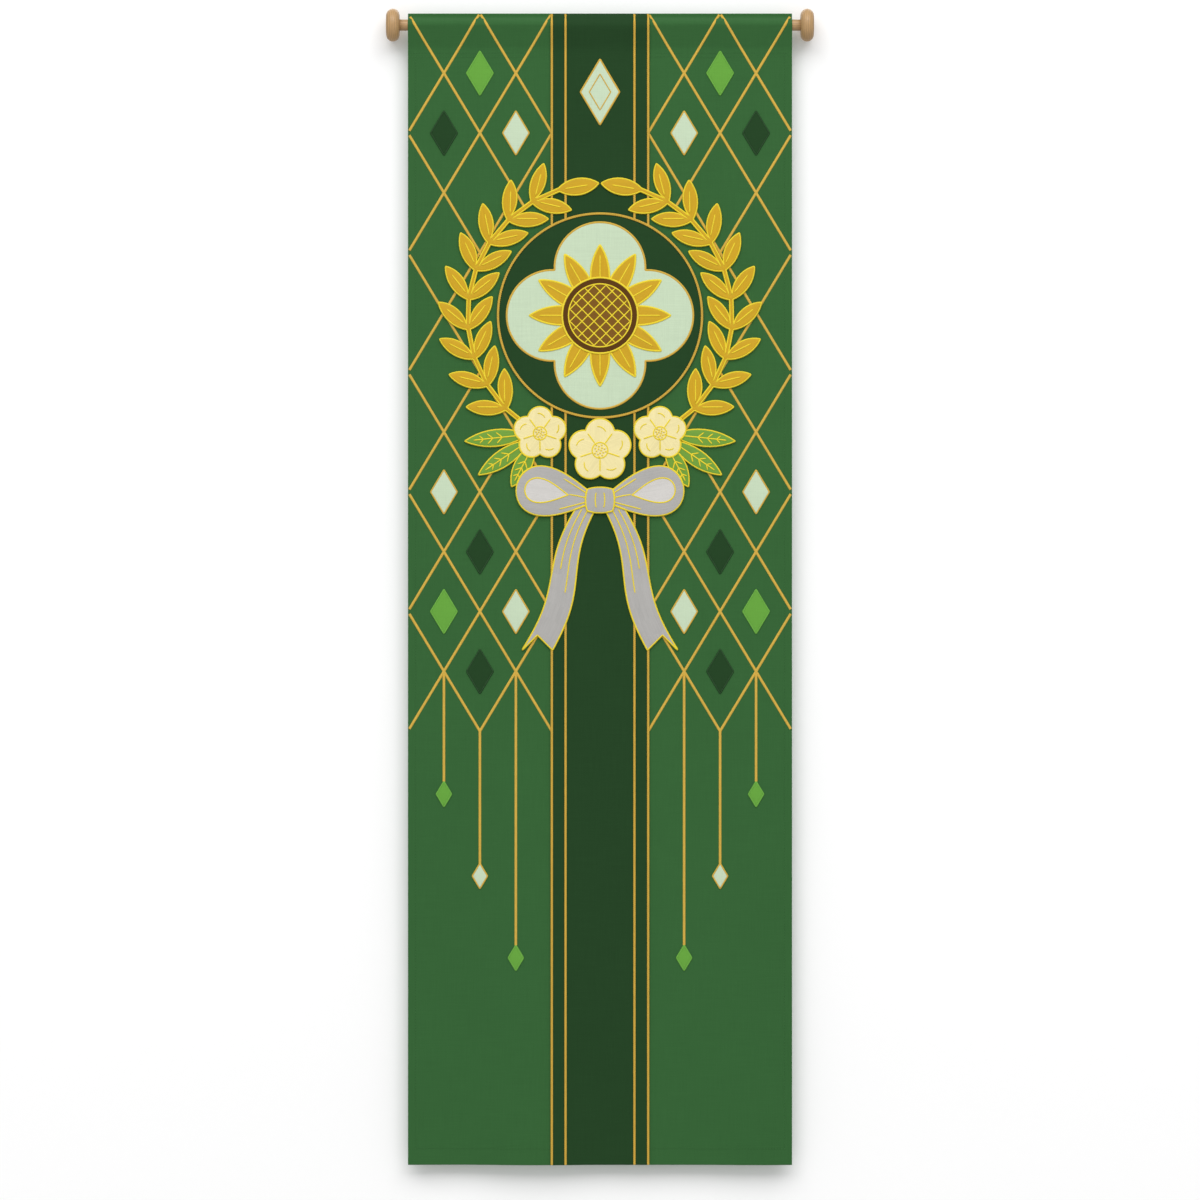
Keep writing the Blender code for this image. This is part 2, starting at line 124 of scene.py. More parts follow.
# %% Waves and the front face
SWAY_START = -1.050
SWAY_DEPTH = 0.004
# Each wave's share of the depth, its length and its shift
WAVES = ((0.7, 0.330, 0.4), (0.3, 0.190, 2.1))
SLACK_DEPTH, SLACK_START = 0.00028, 0.12
# Each wave's share of the depth, how fast it changes across and up, and its shift
SLACK_WAVES = ((1, 9, 14, 0), (0.8, 31, -11, 1), (0.5, 17, 37, 2))


def smooth(share):
    """0 to 1 with a soft start and end."""
    share = np.clip(share, 0, 1)
    return share * share * (3 - 2 * share)


def sway(x, z):
    """How far the cloth stands back at a place across and up."""
    ramp = smooth((SWAY_START - z) / (SWAY_START - BOTTOM))
    waves = sum(share * np.sin(math.tau * x / length + shift) for share, length, shift in WAVES)
    slack = sum(share * np.sin(by_x * x + by_z * z + shift) for share, by_x, by_z, shift in SLACK_WAVES)
    return SWAY_DEPTH * ramp * waves + SLACK_DEPTH * smooth((SEAM - z) / SLACK_START) * slack


def on_front(x, z, height):
    """Points that far in front of the cloth's outer face."""
    x, z, height = np.broadcast_arrays(*(np.asarray(v, dtype=float) for v in (x, z, height)))
    y, normal_y, normal_z = (np.interp(-z, -POCKET[:, 1], POCKET[:, i]) for i in (0, 2, 3))
    reach = HALF + height
    return np.stack([x, y + normal_y * reach + sway(x, z), z + normal_z * reach], -1)


def layer_height(layer):
    """How far the back of a layer of sewn-on cloth is in front of the ground cloth."""
    return CLEAR + layer * PITCH


# %% [markdown]
# ## Links that can be added and multiplied
# A material or a Geometry Nodes tree is easier to read as arithmetic. `Link` wraps one output of a node,
# and `Graph.node` adds any node: its type, what goes in, and its settings by name.


# %% A graph of nodes as expressions
class Link:
    """A node's output that can stand in sums and products."""

    def __init__(self, graph, socket):
        self.graph, self.socket = graph, socket

    def maths(self, operation, *values):
        return self.graph.node("ShaderNodeMath", dict(enumerate(values)), operation=operation)[0]

    def __add__(self, other):
        return self.maths("ADD", self, other)

    def __sub__(self, other):
        return self.maths("SUBTRACT", self, other)

    def __rsub__(self, other):
        return self.maths("SUBTRACT", other, self)

    def __mul__(self, other):
        return self.maths("MULTIPLY", self, other)

    __radd__ = __add__


class Made:
    """A node whose outputs are read by name or number."""

    def __init__(self, graph, node):
        self.graph, self.node = graph, node

    def __getitem__(self, key):
        return Link(self.graph, self.node.outputs[key])


class Graph:
    """The node tree of a material or of a Geometry Nodes modifier."""

    def __init__(self, tree):
        self.tree = tree

    def node(self, kind, values=None, **settings):
        made = self.tree.nodes.new(kind)
        for key, value in settings.items():
            setattr(made, key, value)
        for key, value in (values or {}).items():
            if isinstance(value, Link):
                self.join(value, made.inputs[key])
            else:
                made.inputs[key].default_value = value
        return Made(self, made)

    def join(self, link, socket):
        self.tree.links.new(link.socket, socket)

    def sine(self, link):
        return link.maths("SINE", link)

    def mix(self, share, first, second):
        """A colour between two."""
        return self.node("ShaderNodeMix", {0: share, 6: first, 7: second}, data_type="RGBA")[2]

    def shades(self, share, tint, spread):
        """A named colour from its deep shade to its light one."""
        return self.mix(share, colour(tint, 1 - spread), colour(tint, 1 + spread))

    def noise(self, place, scale, detail=2):
        return self.node("ShaderNodeTexNoise", {"Vector": place, "Scale": scale, "Detail": detail})["Fac"]

    def stretched(self, place, sizes):
        """The place divided by a size for each direction."""
        scale = tuple(1 / size for size in sizes)
        return self.node("ShaderNodeMapping", {"Vector": place, "Scale": scale})["Vector"]


# %% [markdown]
# ## Colours
# Colours are read from the picture as red, green and blue of 0 to 255. A face that looks at the viewer
# gets a little more light than white needs, and a little white from its gleam. Both are taken off first.

# %% Colours read from the picture
LIGHT = 1.12
GLEAM = 0.007
DARKEST = 0.002
COLOURS = {
    "ground": (56, 102, 56),
    "dark": (38, 69, 38),
    "bright": (106, 168, 67),
    "mint": (203, 222, 192),
    "leaf": (116, 162, 62),
    "ochre": (209, 166, 35),
    "cream": (246, 232, 172),
    "brown": (128, 90, 38),
    "dark brown": (93, 61, 21),
    "silver": (180, 178, 175),
    "pale silver": (214, 211, 207),
    "gold": (206, 168, 68),
    "yellow": (237, 210, 55),
    "wood": (186, 149, 102),
}


def colour(name, share=1.0):
    """A named colour in linear light, made lighter or darker by a share."""
    linear = [v / 255 / 12.92 if v < 11 else ((v / 255 + 0.055) / 1.055) ** 2.4 for v in COLOURS[name]]
    return (*(min(max(v / LIGHT - GLEAM, DARKEST) * share, 1) for v in linear), 1)


# %% [markdown]
# ## Woven cloth
# Plain weave has threads that go over and under by turns. Two sine waves across each other make the
# threads, their product says which one is on top, and a stretched noise makes some threads thicker, as in
# real yarn. The pattern reads the UV map, which is in metres and runs with the threads of each piece, so
# it bends with the cloth.

# %% The cloth materials
YARN_THICK, YARN_LONG = 0.0016, 0.050


def new_material(name):
    """A new material with its graph and its shader."""
    material = bpy.data.materials.new(name)
    material.use_nodes = True
    return material, Graph(material.node_tree), material.node_tree.nodes["Principled BSDF"]


def set_values(shader, values):
    """Sets what doesn't vary, on the shader's own sockets."""
    for name, value in values.items():
        shader.inputs[name].default_value = value


def dress(graph, shader, shade, rough, height, relief, strength, constants):
    """Gives the shader its tint, its roughness, its relief and the values that don't vary."""
    bump = graph.node("ShaderNodeBump", {"Height": height, "Distance": relief, "Strength": strength})
    for name, link in {"Base Color": shade, "Roughness": rough, "Normal": bump["Normal"]}.items():
        graph.join(link, shader.inputs[name])
    set_values(shader, constants)


def tinted(graph, tone, tint, spread, inner, inner_spread):
    """The tint of a cloth, and its second tint where the attribute inner is 1."""
    shade = graph.shades(tone, tint, spread)
    if not inner:
        return shade
    mask = graph.node("ShaderNodeAttribute", attribute_name="inner")["Fac"]
    return graph.mix(mask, shade, graph.shades(tone, inner, inner_spread))


def woven(name, tint, thread=0.0009, inner=None):
    """Matt plain weave of one or two tints."""
    material, graph, shader = new_material(name)
    place = graph.node("ShaderNodeUVMap", uv_map="threads")["UV"]
    axes = graph.node("ShaderNodeSeparateXYZ", {0: place})
    weave = graph.sine(axes["X"] * (math.tau / thread)) * graph.sine(axes["Y"] * (math.tau / thread))
    yarns = ((YARN_THICK, YARN_LONG, 1), (YARN_LONG, YARN_THICK, 1))
    slubs, picks = (graph.noise(graph.stretched(place, yarn), 1) for yarn in yarns)
    mottle = graph.noise(place, 9, 3)
    # weave also makes the raised threads lighter and the sunk ones darker: painted shade in the weave's dips.
    # Slubs, picks and mottle are the yarn's own uneven tone.
    tone = (slubs + picks - 1) * 0.5 + (mottle - 0.5) * 0.22 + weave * 0.05 + 0.5
    shade = tinted(graph, tone, tint, 0.16, inner, 0.16)
    height = weave * 0.5 + (slubs + picks) * 0.5
    constants = {"Sheen Weight": 0.08, "Sheen Roughness": 0.5, "Specular IOR Level": 0.18}
    dress(graph, shader, shade, 0.9 - tone * 0.15, height, 0.00012, 0.6, constants)
    return material


# %% [markdown]
# ## Satin and thread
# Petals, leaves, roses and ribbon are satin: long floating threads all one way, with a soft gleam. Fine
# stripes along the thread direction take the place of the weave, and the surface is smoother. Embroidery
# thread crosses a ridge side by side, so it reads how far along the ridge a point is.

# %% The satin and thread materials
SATIN_YARNS = ((0.030, 0.004, 1), (0.060, 0.0013, 1), (0.070, 0.020, 1))
SATIN_THREAD = 0.0007
SEWING_THREAD = 0.00055


def satin(name, tint, rough=0.5, inner=None):
    """Cloth whose threads lie along its UV map's X."""
    material, graph, shader = new_material(name)
    place = graph.node("ShaderNodeUVMap", uv_map="threads")["UV"]
    across = graph.node("ShaderNodeSeparateXYZ", {0: place})["Y"]
    drift, strands, gleam = (graph.noise(graph.stretched(place, yarn), 1) for yarn in SATIN_YARNS)
    threads = graph.sine((across + drift * 0.0012) * (math.tau / SATIN_THREAD))
    # gleam lightens long stretches of the satin, a painted sheen. threads makes each thread's crest lighter
    # and the dip beside it darker, a painted shade. strands is the yarn's own uneven tone.
    tone = (strands - 0.5) * 0.8 + (gleam - 0.5) * 0.5 + threads * 0.06 + 0.5
    shade = tinted(graph, tone, tint, 0.18, inner, 0.15)
    constants = {"Sheen Weight": 0.05, "Specular IOR Level": 0.22}
    height = threads * 0.4 + strands
    dress(graph, shader, shade, rough + (strands - 0.5) * 0.3, height, 0.00015, 0.6, constants)
    return material


def thread(name, tint):
    """Embroidery thread, with uneven strands."""
    material, graph, shader = new_material(name)
    along = graph.node("ShaderNodeAttribute", attribute_name="along")["Fac"]
    place = graph.node("ShaderNodeTexCoord")["Object"]
    strands = graph.sine(along * (math.tau / SEWING_THREAD))
    uneven, drift = graph.noise(place, 900, 1), graph.noise(place, 60, 2)
    # strands makes each thread's crest lighter and the gap beside it darker, a painted shade. uneven and
    # drift are the thread's own uneven tone.
    tone = strands * 0.14 + (uneven - 0.5) * 0.5 + (drift - 0.5) * 0.4 + 0.5
    shade = graph.mix(tone, colour(tint, 0.92), colour(tint, 1.42))
    height = strands * 0.5 + uneven
    dress(graph, shader, shade, 0.5 + (uneven - 0.5) * 0.3, height, 0.0002, 0.7, {"Specular IOR Level": 0.25})
    return material


CLOTHS = {
    "ground": woven("green ground cloth", "ground"),
    "dark": woven("dark green cloth", "dark"),
    "bright": woven("bright green cloth", "bright", thread=0.0008),
    "mint": woven("mint cloth", "mint", thread=0.0008),
    "brown": woven("brown cloth", "dark brown", thread=0.0010, inner="brown"),
    "leaf": satin("leaf green satin", "leaf"),
    "ochre": satin("ochre satin", "ochre"),
    "cream": satin("cream satin", "cream"),
    "silver": satin("silver ribbon", "silver", rough=0.42, inner="pale silver"),
}
THREADS = {tint: thread(f"{tint} thread", tint) for tint in ("yellow", "gold", "ground", "dark", "bright")}
print(len(CLOTHS), "cloths and", len(THREADS), "threads")

# %% [markdown]
# ## Sheets as two grids
# The ground cloth and the band are grids of points, one for the outer face and one for the inner face,
# closed round the rim. The last millimetre is rounded, because every edge there is a fold. The UV map is
# the cloth's own measure: across, and along the line that the cloth follows.

# %% A closed sheet from two grids
# The share of its thickness that a sheet loses at its edge on each face
ROUNDED = 0.46
# The share of a true half round that a folded edge has
FOLD_ROUND = 0.9


def placed(name, data):
    """A new object in the scene."""
    made = bpy.data.objects.new(name, data)
    bpy.context.scene.collection.objects.link(made)
    return made


def point_out(mesh):
    """Makes the faces point out of a closed mesh."""
    work = bmesh.new()
    work.from_mesh(mesh)
    bmesh.ops.recalc_face_normals(work, faces=work.faces)
    work.to_mesh(mesh)
    work.free()


def keep(name, mesh, material, slot, *nodes):
    """A finished piece that rides with the banner, and the nodes that it stands for. The slot is not used."""
    point_out(mesh)
    piece = placed(name, mesh)
    mesh.materials.clear()
    mesh.materials.append(material)
    mesh.shade_smooth()
    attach(piece, "root")
    if nodes:
        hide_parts(*nodes)
    return piece


def grid_mesh(name, outer, inner, across, along):
    """A closed mesh between two grids of points, with a UV map in metres named threads."""
    rows, columns = outer.shape[:2]
    points = np.concatenate([outer.reshape(-1, 3), inner.reshape(-1, 3)])
    number = np.arange(rows * columns).reshape(rows, columns)
    a, b, c, d = number[:-1, :-1], number[:-1, 1:], number[1:, 1:], number[1:, :-1]
    front = np.stack([a, b, c, d], -1).reshape(-1, 4)
    back = front[:, ::-1] + rows * columns
    rim = np.concatenate([number[0], number[1:, -1], number[-1, -2::-1], number[-2:0:-1, 0]])
    following = np.roll(rim, -1)
    sides = np.stack([rim, rim + rows * columns, following + rows * columns, following], -1)
    faces = np.concatenate([front, back, sides])
    mesh = bpy.data.meshes.new(name)
    mesh.from_pydata(points.tolist(), [], faces.tolist())
    measure = np.stack(np.broadcast_arrays(np.asarray(across)[None, :], np.asarray(along)[:, None]), -1)
    measure = np.tile(measure.reshape(-1, 2), (2, 1))
    threads = mesh.uv_layers.new(name="threads")
    threads.data.foreach_set("uv", measure[faces.ravel()].ravel())
    mesh.update()
    return mesh


def rounding(distance, radius):
    """How far a face drops near a folded edge."""
    inside = np.clip(radius - distance, 0, radius)
    return (radius - np.sqrt(radius**2 - inside**2)) * FOLD_ROUND


def from_edge(total, step, near):
    """Places from one edge to the other: the near ones at both ends, even steps between."""
    count = max(2, round((total - 2 * near[-1]) / step))
    between = steps(near[-1], total - near[-1], count)
    return np.array([*near[:-1], *between, *(total - n for n in reversed(near[:-1]))])


# %% [markdown]
# ## The ground cloth
# One length of cloth: up the front, round the front of the rod, over the top fold and down behind the rod
# to just below the seam. The turned-in hems make the sides and the lower edge twice as thick at the back.

# %% The ground cloth with pocket and hems
EDGE_STEPS = (0, 0.0001, 0.00035, 0.0008, 0.0016, 0.004, 0.008, 0.012, 0.0148, 0.0154, 0.0164, 0.020)
HEM_STEPS = (0, 0.0001, 0.00035, 0.0008, 0.0016, 0.005, 0.010, 0.016, 0.022, 0.0298, 0.0304, 0.0314, 0.036)
FLAP = 0.013
FLAP_STEPS = (0.004, 0.009, FLAP - 0.0008, FLAP - 0.00035, FLAP - 0.0001, FLAP)
GAP_ACROSS, GAP_DOWN = 0.006, 0.008
# How far past its fold a hem still shows, and over what width it fades
PAST_HEM, HEM_FADE = 0.0008, 0.0012


def ground_rows():
    """All rows of the ground cloth, from the hem up the front and down the back to the flap's end."""
    hem_heights = [BOTTOM + h for h in HEM_STEPS]
    count = round((SEAM - hem_heights[-1]) / GAP_DOWN)
    plumb = [(-FRONT, z, -1, 0) for z in [*hem_heights[:-1], *steps(hem_heights[-1], SEAM, count)[:-1]]]
    fold = arc_rows(0, TOP - FRONT - HALF, FRONT, steps(0, math.pi, 8)[1:-1])
    back = [(-y, z, -normal_y, normal_z) for y, z, normal_y, normal_z in POCKET]
    ends = [(FRONT, SEAM - step, 1, 0) for step in FLAP_STEPS]
    return np.array([*plumb, *POCKET[::-1].tolist(), *fold, *back, *ends])


def ground_cloth():
    rows = ground_rows()
    across = from_edge(WIDTH, GAP_ACROSS, EDGE_STEPS) - WIDTH / 2
    along = np.concatenate([[0], np.cumsum(np.hypot(*np.diff(rows[:, :2], axis=0).T))])
    x = across[None, :]
    y, z, normal_y, normal_z = (rows[:, i][:, None] for i in range(4))
    to_side = WIDTH / 2 - np.abs(x)
    to_end = np.minimum(along, along[-1] - along)[:, None]
    hangs = (along < along[-1] / 2)[:, None] & (z < SEAM - FLAP - 0.0005)
    hem_side = smooth((SIDE_HEM + PAST_HEM - to_side) / HEM_FADE)
    hem_end = smooth((BOTTOM_HEM + PAST_HEM - to_end) / HEM_FADE)
    depth = THICK + HEM_TURN * np.where(hangs, np.maximum(hem_side, hem_end), 0)
    drop = np.minimum(rounding(to_side, depth / 2) + rounding(to_end, depth / 2), depth * ROUNDED)

    def face(offset):
        reach = HALF + offset
        points = [x + 0 * z, y + normal_y * reach + sway(x, z), z + normal_z * reach + 0 * x]
        return np.stack(np.broadcast_arrays(*points), -1)

    mesh = grid_mesh("ground_cloth", face(-drop), face(drop - depth), across, along)
    piece = keep("ground_cloth", mesh, CLOTHS["ground"], "ground", "banner_cloth")
    print("ground cloth:", len(mesh.polygons), "faces,", round(along[-1], 3), "m along its line")
    return piece, along[-1]


ground, ground_length = ground_cloth()

# %% [markdown]
# ## The dark band
# A strip of the same weave in a darker green, sewn on from edge to edge and over the pocket.

# %% The band down the middle
BAND_STEPS = (0, 0.0001, 0.0003, 0.0007, 0.003)
BAND_TOP = TOP - 0.0004
BAND_GAP_DOWN = 0.007


def centre_band():
    count = round((BAND_TOP - BOTTOM) / BAND_GAP_DOWN)
    low = [BOTTOM + step for step in BAND_STEPS[:-1]]
    heights = np.array([*low, *steps(BOTTOM + BAND_STEPS[-1], BAND_TOP, count)])
    across = from_edge(2 * BAND_HALF, GAP_ACROSS, BAND_STEPS) - BAND_HALF
    to_side = (BAND_HALF - np.abs(across))[None, :]
    to_end = np.minimum(heights - BOTTOM, TOP - heights)[:, None]
    drop = np.minimum(rounding(to_side, PIECE / 2) + rounding(to_end, PIECE / 2), PIECE * ROUNDED)
    back = layer_height(0)
    outer = on_front(across[None, :], heights[:, None], back + PIECE - drop)
    inner = on_front(across[None, :], heights[:, None], back + drop)
    mesh = grid_mesh("dark_band", outer, inner, across, heights)
    return keep("dark_band", mesh, CLOTHS["dark"], "dark", "centre_band")


band = centre_band()
print("band:", len(band.data.polygons), "faces")

# %% [markdown]
# ## Outlines
# The sewn-on pieces are cut to outlines made of arcs. An arc through two points with a known rise gives
# leaves and petals, and circles that cross each other give the roses and the four-lobed piece.


# %% Arcs, circles and lobes
SIDES = (("right", 1), ("left", -1))


def polar(centre, radius, angle):
    """The point at a radius and angle round a centre."""
    return centre + radius * Vector((math.cos(angle), math.sin(angle)))


def circle(centre, radius, count):
    """Points evenly round a circle."""
    return [polar(centre, radius, math.tau * i / count) for i in range(count)]


def bulge(start, end, rise, count=10):
    """Points on an arc that bulges to the right of its way, without its end."""
    chord = end - start
    right = Vector((chord.y, -chord.x)).normalized()
    radius = (chord.length_squared / 4 + rise * rise) / (2 * rise)
    centre = (start + end) / 2 - right * (radius - rise)
    first = math.atan2(start.y - centre.y, start.x - centre.x)
    sweep = 2 * math.asin(min(chord.length / 2 / radius, 1))
    return [polar(centre, radius, first + sweep * i / count) for i in range(count)]


def foil(centre, lobes, distance, radius, start, count):
    """Round lobes about a centre, joined where they cross."""
    half = math.pi / lobes
    cusp = distance * math.cos(half) + math.sqrt(radius**2 - (distance * math.sin(half)) ** 2)
    reach = math.atan2(cusp * math.sin(half), cusp * math.cos(half) - distance)
    outline = []
    for i in range(lobes):
        axis = start + math.tau * i / lobes
        middle = polar(centre, distance, axis)
        outline += [polar(middle, radius, axis + turn) for turn in steps(-reach, reach, count)[:-1]]
    return outline


def on_side(side, points):
    """The points as they are for side 1, or mirrored and in reverse for side -1, to turn the same way."""
    return [Vector((side * place.x, place.y)) for place in points][::side]


def lozenge(centre, half):
    """An upright diamond."""
    return [centre + half * Vector(sides) for sides in ((1, 0), (0, 1), (-1, 0), (0, -1))]


# %% [markdown]
# ## Pieces in their layers
# Each piece knows its outline, its layer and the directions of its threads. The list `LAID` is filled in
# from the back to the front, so that a later piece can ask what lies under a point. That tells how deep a
# satin-stitched edge has to reach to meet the cloth below.

# %% What lies under a point
LAID = [(np.array([(-BAND_HALF, BOTTOM), (BAND_HALF, BOTTOM), (BAND_HALF, TOP), (-BAND_HALF, TOP)]), PITCH)]


def as_array(outline):
    return np.array([tuple(place) for place in outline], dtype=float)


def inside(points, outline):
    """Which points lie inside a closed outline, by counting crossings."""
    x, z = points[:, 0, None], points[:, 1, None]
    ax, az = outline[:, 0], outline[:, 1]
    bx, bz = np.roll(ax, -1), np.roll(az, -1)
    level = (az > z) != (bz > z)
    slope = np.where(level, (bx - ax) * (z - az) / np.where(bz == az, 1, bz - az) + ax, 0)
    return (level & (x < slope)).sum(1) % 2 == 1


def to_line(points, line, closed=True):
    """The distance from each point to a line of points."""
    ends = np.roll(line, -1, axis=0) if closed else line[1:]
    starts = line if closed else line[:-1]
    run = ends - starts
    size = np.maximum((run**2).sum(-1), 1e-18)
    away = points[:, None, :] - starts[None]
    share = np.clip((away * run).sum(-1) / size, 0, 1)
    return np.sqrt(((away - share[..., None] * run) ** 2).sum(-1)).min(1)


def support(points, above):
    """How far the pieces below a height stand in front of the ground cloth at each point."""
    height = np.zeros(len(points))
    for outline, top in LAID:
        if top < above:
            height = np.where(inside(points, outline), np.maximum(height, top), height)
    return height


# %% [markdown]
# ## Cutting a piece of cloth
# A flat outline becomes a cloth piece with a constrained triangulation: the outline and any inner line are
# kept as edges, and a grid of points fills the inside so that the cloth can swell a little between its
# stitched edges. A single many-sided face could not swell.

# %% A sewn-on piece
SWELL, SWELL_REACH = 0.0005, 0.006
SUNK = 0.0002
RING_DEPTHS = (0.0022, 0.0055)
# The gap between rows of points as a share of the gap in a row, and how near they come to other points
ROW_SHARE = 0.87
RING_SHARE, NEAR_RING, NEAR_LINE = 0.93, 0.4, 0.45
# So that the pattern isn't the same on two petals
PATTERN_SHIFT = 0.37
# Thread and width of the stitching round an edge, and the widths of lines on a piece
EDGE, FINE_EDGE = ("yellow", 0.0032), ("yellow", 0.0029)
VEIN, OUTLINE, CURL = 0.0020, 0.0022, 0.0018
# How high the thread stands: at an edge, in a line on a piece, in a line on the ground, and its depth
EDGE_RISE, LINE_RISE, GROUND_RISE, LINE_DEPTH = 0.0004, 0.0005, 0.0008, 0.0010
# A curved wreath branch fills only 0.25 of its own, which is 0.197 by 0.410, so its declared width isn't the
# cut one: it is narrowed until the branch fills this share
LEAST_FILL = 0.32


def dense(outline, gap=0.004, closed=True):
    """The same line with points no further apart than the gap."""
    line = as_array(outline)
    ends = np.roll(line, -1, axis=0) if closed else line[1:]
    points = []
    for start, end in zip(line, ends):
        count = max(1, math.ceil(math.dist(start, end) / gap))
        points += [start + (end - start) * i / count for i in range(count)]
    return np.array(points if closed else [*points, line[-1]])


def filled(outline, inner_lines, gap):
    """Points and triangles that fill an outline, with even rings inside it, and keep the inner lines."""
    low, high = outline.min(0), outline.max(0)
    across = np.arange(low[0], high[0], gap)
    up = np.arange(low[1], high[1], gap * ROW_SHARE)
    grid_x, grid_z = np.meshgrid(across, up)
    grid_x[1::2] += gap / 2
    spread = np.stack([grid_x.ravel(), grid_z.ravel()], -1)
    spread = spread[inside(spread, outline)]
    run = np.roll(outline, -1, axis=0) - np.roll(outline, 1, axis=0)
    sideways = np.stack([-run[:, 1], run[:, 0]], -1) / np.linalg.norm(run, axis=1)[:, None]
    rings = []
    for depth in RING_DEPTHS:
        ring = np.concatenate([outline + sideways * depth, outline - sideways * depth])
        ring = ring[inside(ring, outline)]
        rings.append(ring[to_line(ring, outline) > depth * RING_SHARE])
    spread = spread[to_line(spread, outline) > RING_DEPTHS[-1] + gap * NEAR_RING]
    spread = np.concatenate([*rings, spread])
    for line in inner_lines:
        spread = spread[to_line(spread, line) > gap * NEAR_LINE]
    points, edges = [*outline], [(i, (i + 1) % len(outline)) for i in range(len(outline))]
    for line in inner_lines:
        first = len(points)
        edges += [(first + i, first + (i + 1) % len(line)) for i in range(len(line))]
        points += [*line]
    points += [*spread]
    made = delaunay_2d_cdt([Vector(p) for p in points], edges, [list(range(len(outline)))], 1, 1e-7)
    return np.array([tuple(p) for p in made[0]]), [list(face) for face in made[2]]


def along_threads(points, faces, grain):
    """A UV for each face corner, in the frame of the thread direction that is nearest to the face."""
    starts, ends = np.array([[tuple(place) for place in pair] for pair in grain]).transpose(1, 0, 2)
    centres = np.array([points[face].mean(0) for face in faces])
    distances = [to_line(centres, np.array(pair), closed=False) for pair in zip(starts, ends)]
    uv = []
    for face, choice in zip(faces, np.argmin(distances, 0)):
        way = (ends[choice] - starts[choice]) / math.dist(starts[choice], ends[choice])
        for step in points[face] - starts[choice]:
            uv.append((step @ way + choice * PATTERN_SHIFT, step[1] * way[0] - step[0] * way[1]))
    return uv


def cut_size(edge):
    """The smallest rectangle round a piece, turned any way, or a narrower one by LEAST_FILL, and its area."""
    following = np.roll(edge, -1, axis=0)
    area = abs((edge[:, 0] * following[:, 1] - edge[:, 1] * following[:, 0]).sum()) / 2
    turns = np.radians(np.arange(0, 90, 2))
    across = np.outer(np.cos(turns), edge[:, 0]) + np.outer(np.sin(turns), edge[:, 1])
    along = np.outer(np.cos(turns), edge[:, 1]) - np.outer(np.sin(turns), edge[:, 0])
    sizes = np.stack([np.ptp(across, axis=1), np.ptp(along, axis=1)], -1)
    short, long = sorted(sizes[np.argmin(sizes.prod(1))].tolist())
    return (min(short, area / long / LEAST_FILL), long), float(area)


def cut_piece(node, outline, layer, cloth, grain=None, inner=None, gap=0.006, edging=EDGE):
    """A piece of cloth in its layer, swelling a little inside its edge, and the stitches round it."""
    edge = dense(outline)
    points, faces = filled(edge, [dense(inner)] if inner else [], gap)
    back = layer_height(layer)
    swell = SWELL * (1 - np.exp(-to_line(points, edge) / SWELL_REACH))
    front = on_front(points[:, 0], points[:, 1], back + PIECE - SUNK + swell)
    behind = on_front(points[:, 0], points[:, 1], back)
    number = len(points)
    edges = dict.fromkeys((a, b) for face in faces for a, b in zip(face, face[1:] + face[:1]))
    rim = [(a, b) for a, b in edges if (b, a) not in edges]
    far = [[v + number for v in reversed(face)] for face in faces]
    closed = faces + far + [[b, a, a + number, b + number] for a, b in rim]
    mesh = bpy.data.meshes.new(node)
    mesh.from_pydata(np.concatenate([front, behind]).tolist(), [], closed)
    flat = np.concatenate([points, points])
    middle = as_array(outline).mean(0)
    uv = along_threads(flat, closed, grain or [(middle, middle + (0, 1))])
    mesh.uv_layers.new(name="threads").data.foreach_set("uv", np.array(uv).ravel())
    if inner:
        opening = as_array(inner)
        mask = [float(inside(flat[face].mean(0)[None], opening)[0]) for face in closed]
        mesh.attributes.new("inner", "FLOAT", "FACE").data.foreach_set("value", mask)
    mesh.update()
    LAID.append((edge, back + PIECE + SWELL))
    piece = keep(f"{node}_cloth", mesh, CLOTHS[cloth], cloth, node)
    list(cut_size(edge))
    if edging:
        sew_edge(outline, layer, *edging)


# Lines to be sewn later: thread colour, width, points, lowest and highest height
SEAMS = []
SEAM_STEP = 0.003
ALMOST_STRAIGHT = math.radians(150)


def sew_edge(outline, layer, tint, width):
    """A satin-stitched edge that reaches down to whatever is under the piece."""
    line = dense(soften([*outline], closed=True), SEAM_STEP)
    top = layer_height(layer) + PIECE + EDGE_RISE
    low = support(line, top - PIECE)
    SEAMS.append((tint, width, np.concatenate([line, line[:1]]), low, top))


def sew_line(points, layer, tint="yellow", width=VEIN, gap=SEAM_STEP):
    """A satin-stitched line on top of a piece. Layer -1 is the ground cloth itself."""
    line = dense(points, gap, closed=False)
    top = layer_height(layer) + PIECE + SWELL + LINE_RISE if layer >= 0 else GROUND_RISE
    low = np.full(len(line), top - LINE_DEPTH)
    SEAMS.append((tint, width, line, low, top))


def soften(points, closed, radius=0.0012):
    """Cuts each sharp corner into three points, so that a ridge can turn there."""
    soft = []
    for i, place in enumerate(points):
        if not closed and i in (0, len(points) - 1):
            soft.append(place)
            continue
        before, after = points[i - 1] - place, points[(i + 1) % len(points)] - place
        if before.length < 1e-9 or after.length < 1e-9:
            continue
        if before.angle(after) > ALMOST_STRAIGHT:
            soft.append(place)
            continue
        reach = min(radius, before.length / 2, after.length / 2)
        start, end = place + before.normalized() * reach, place + after.normalized() * reach
        soft += [start, (start + end) / 4 + place / 2, end]
    return soft


# %% [markdown]
# ## The round panel and its flower
# A dark disc lies on the band, then the pale four-lobed piece, the petals cut in one, and the brown middle
# with its net of stitched lines. The petals' threads run outwards, each in its own direction.

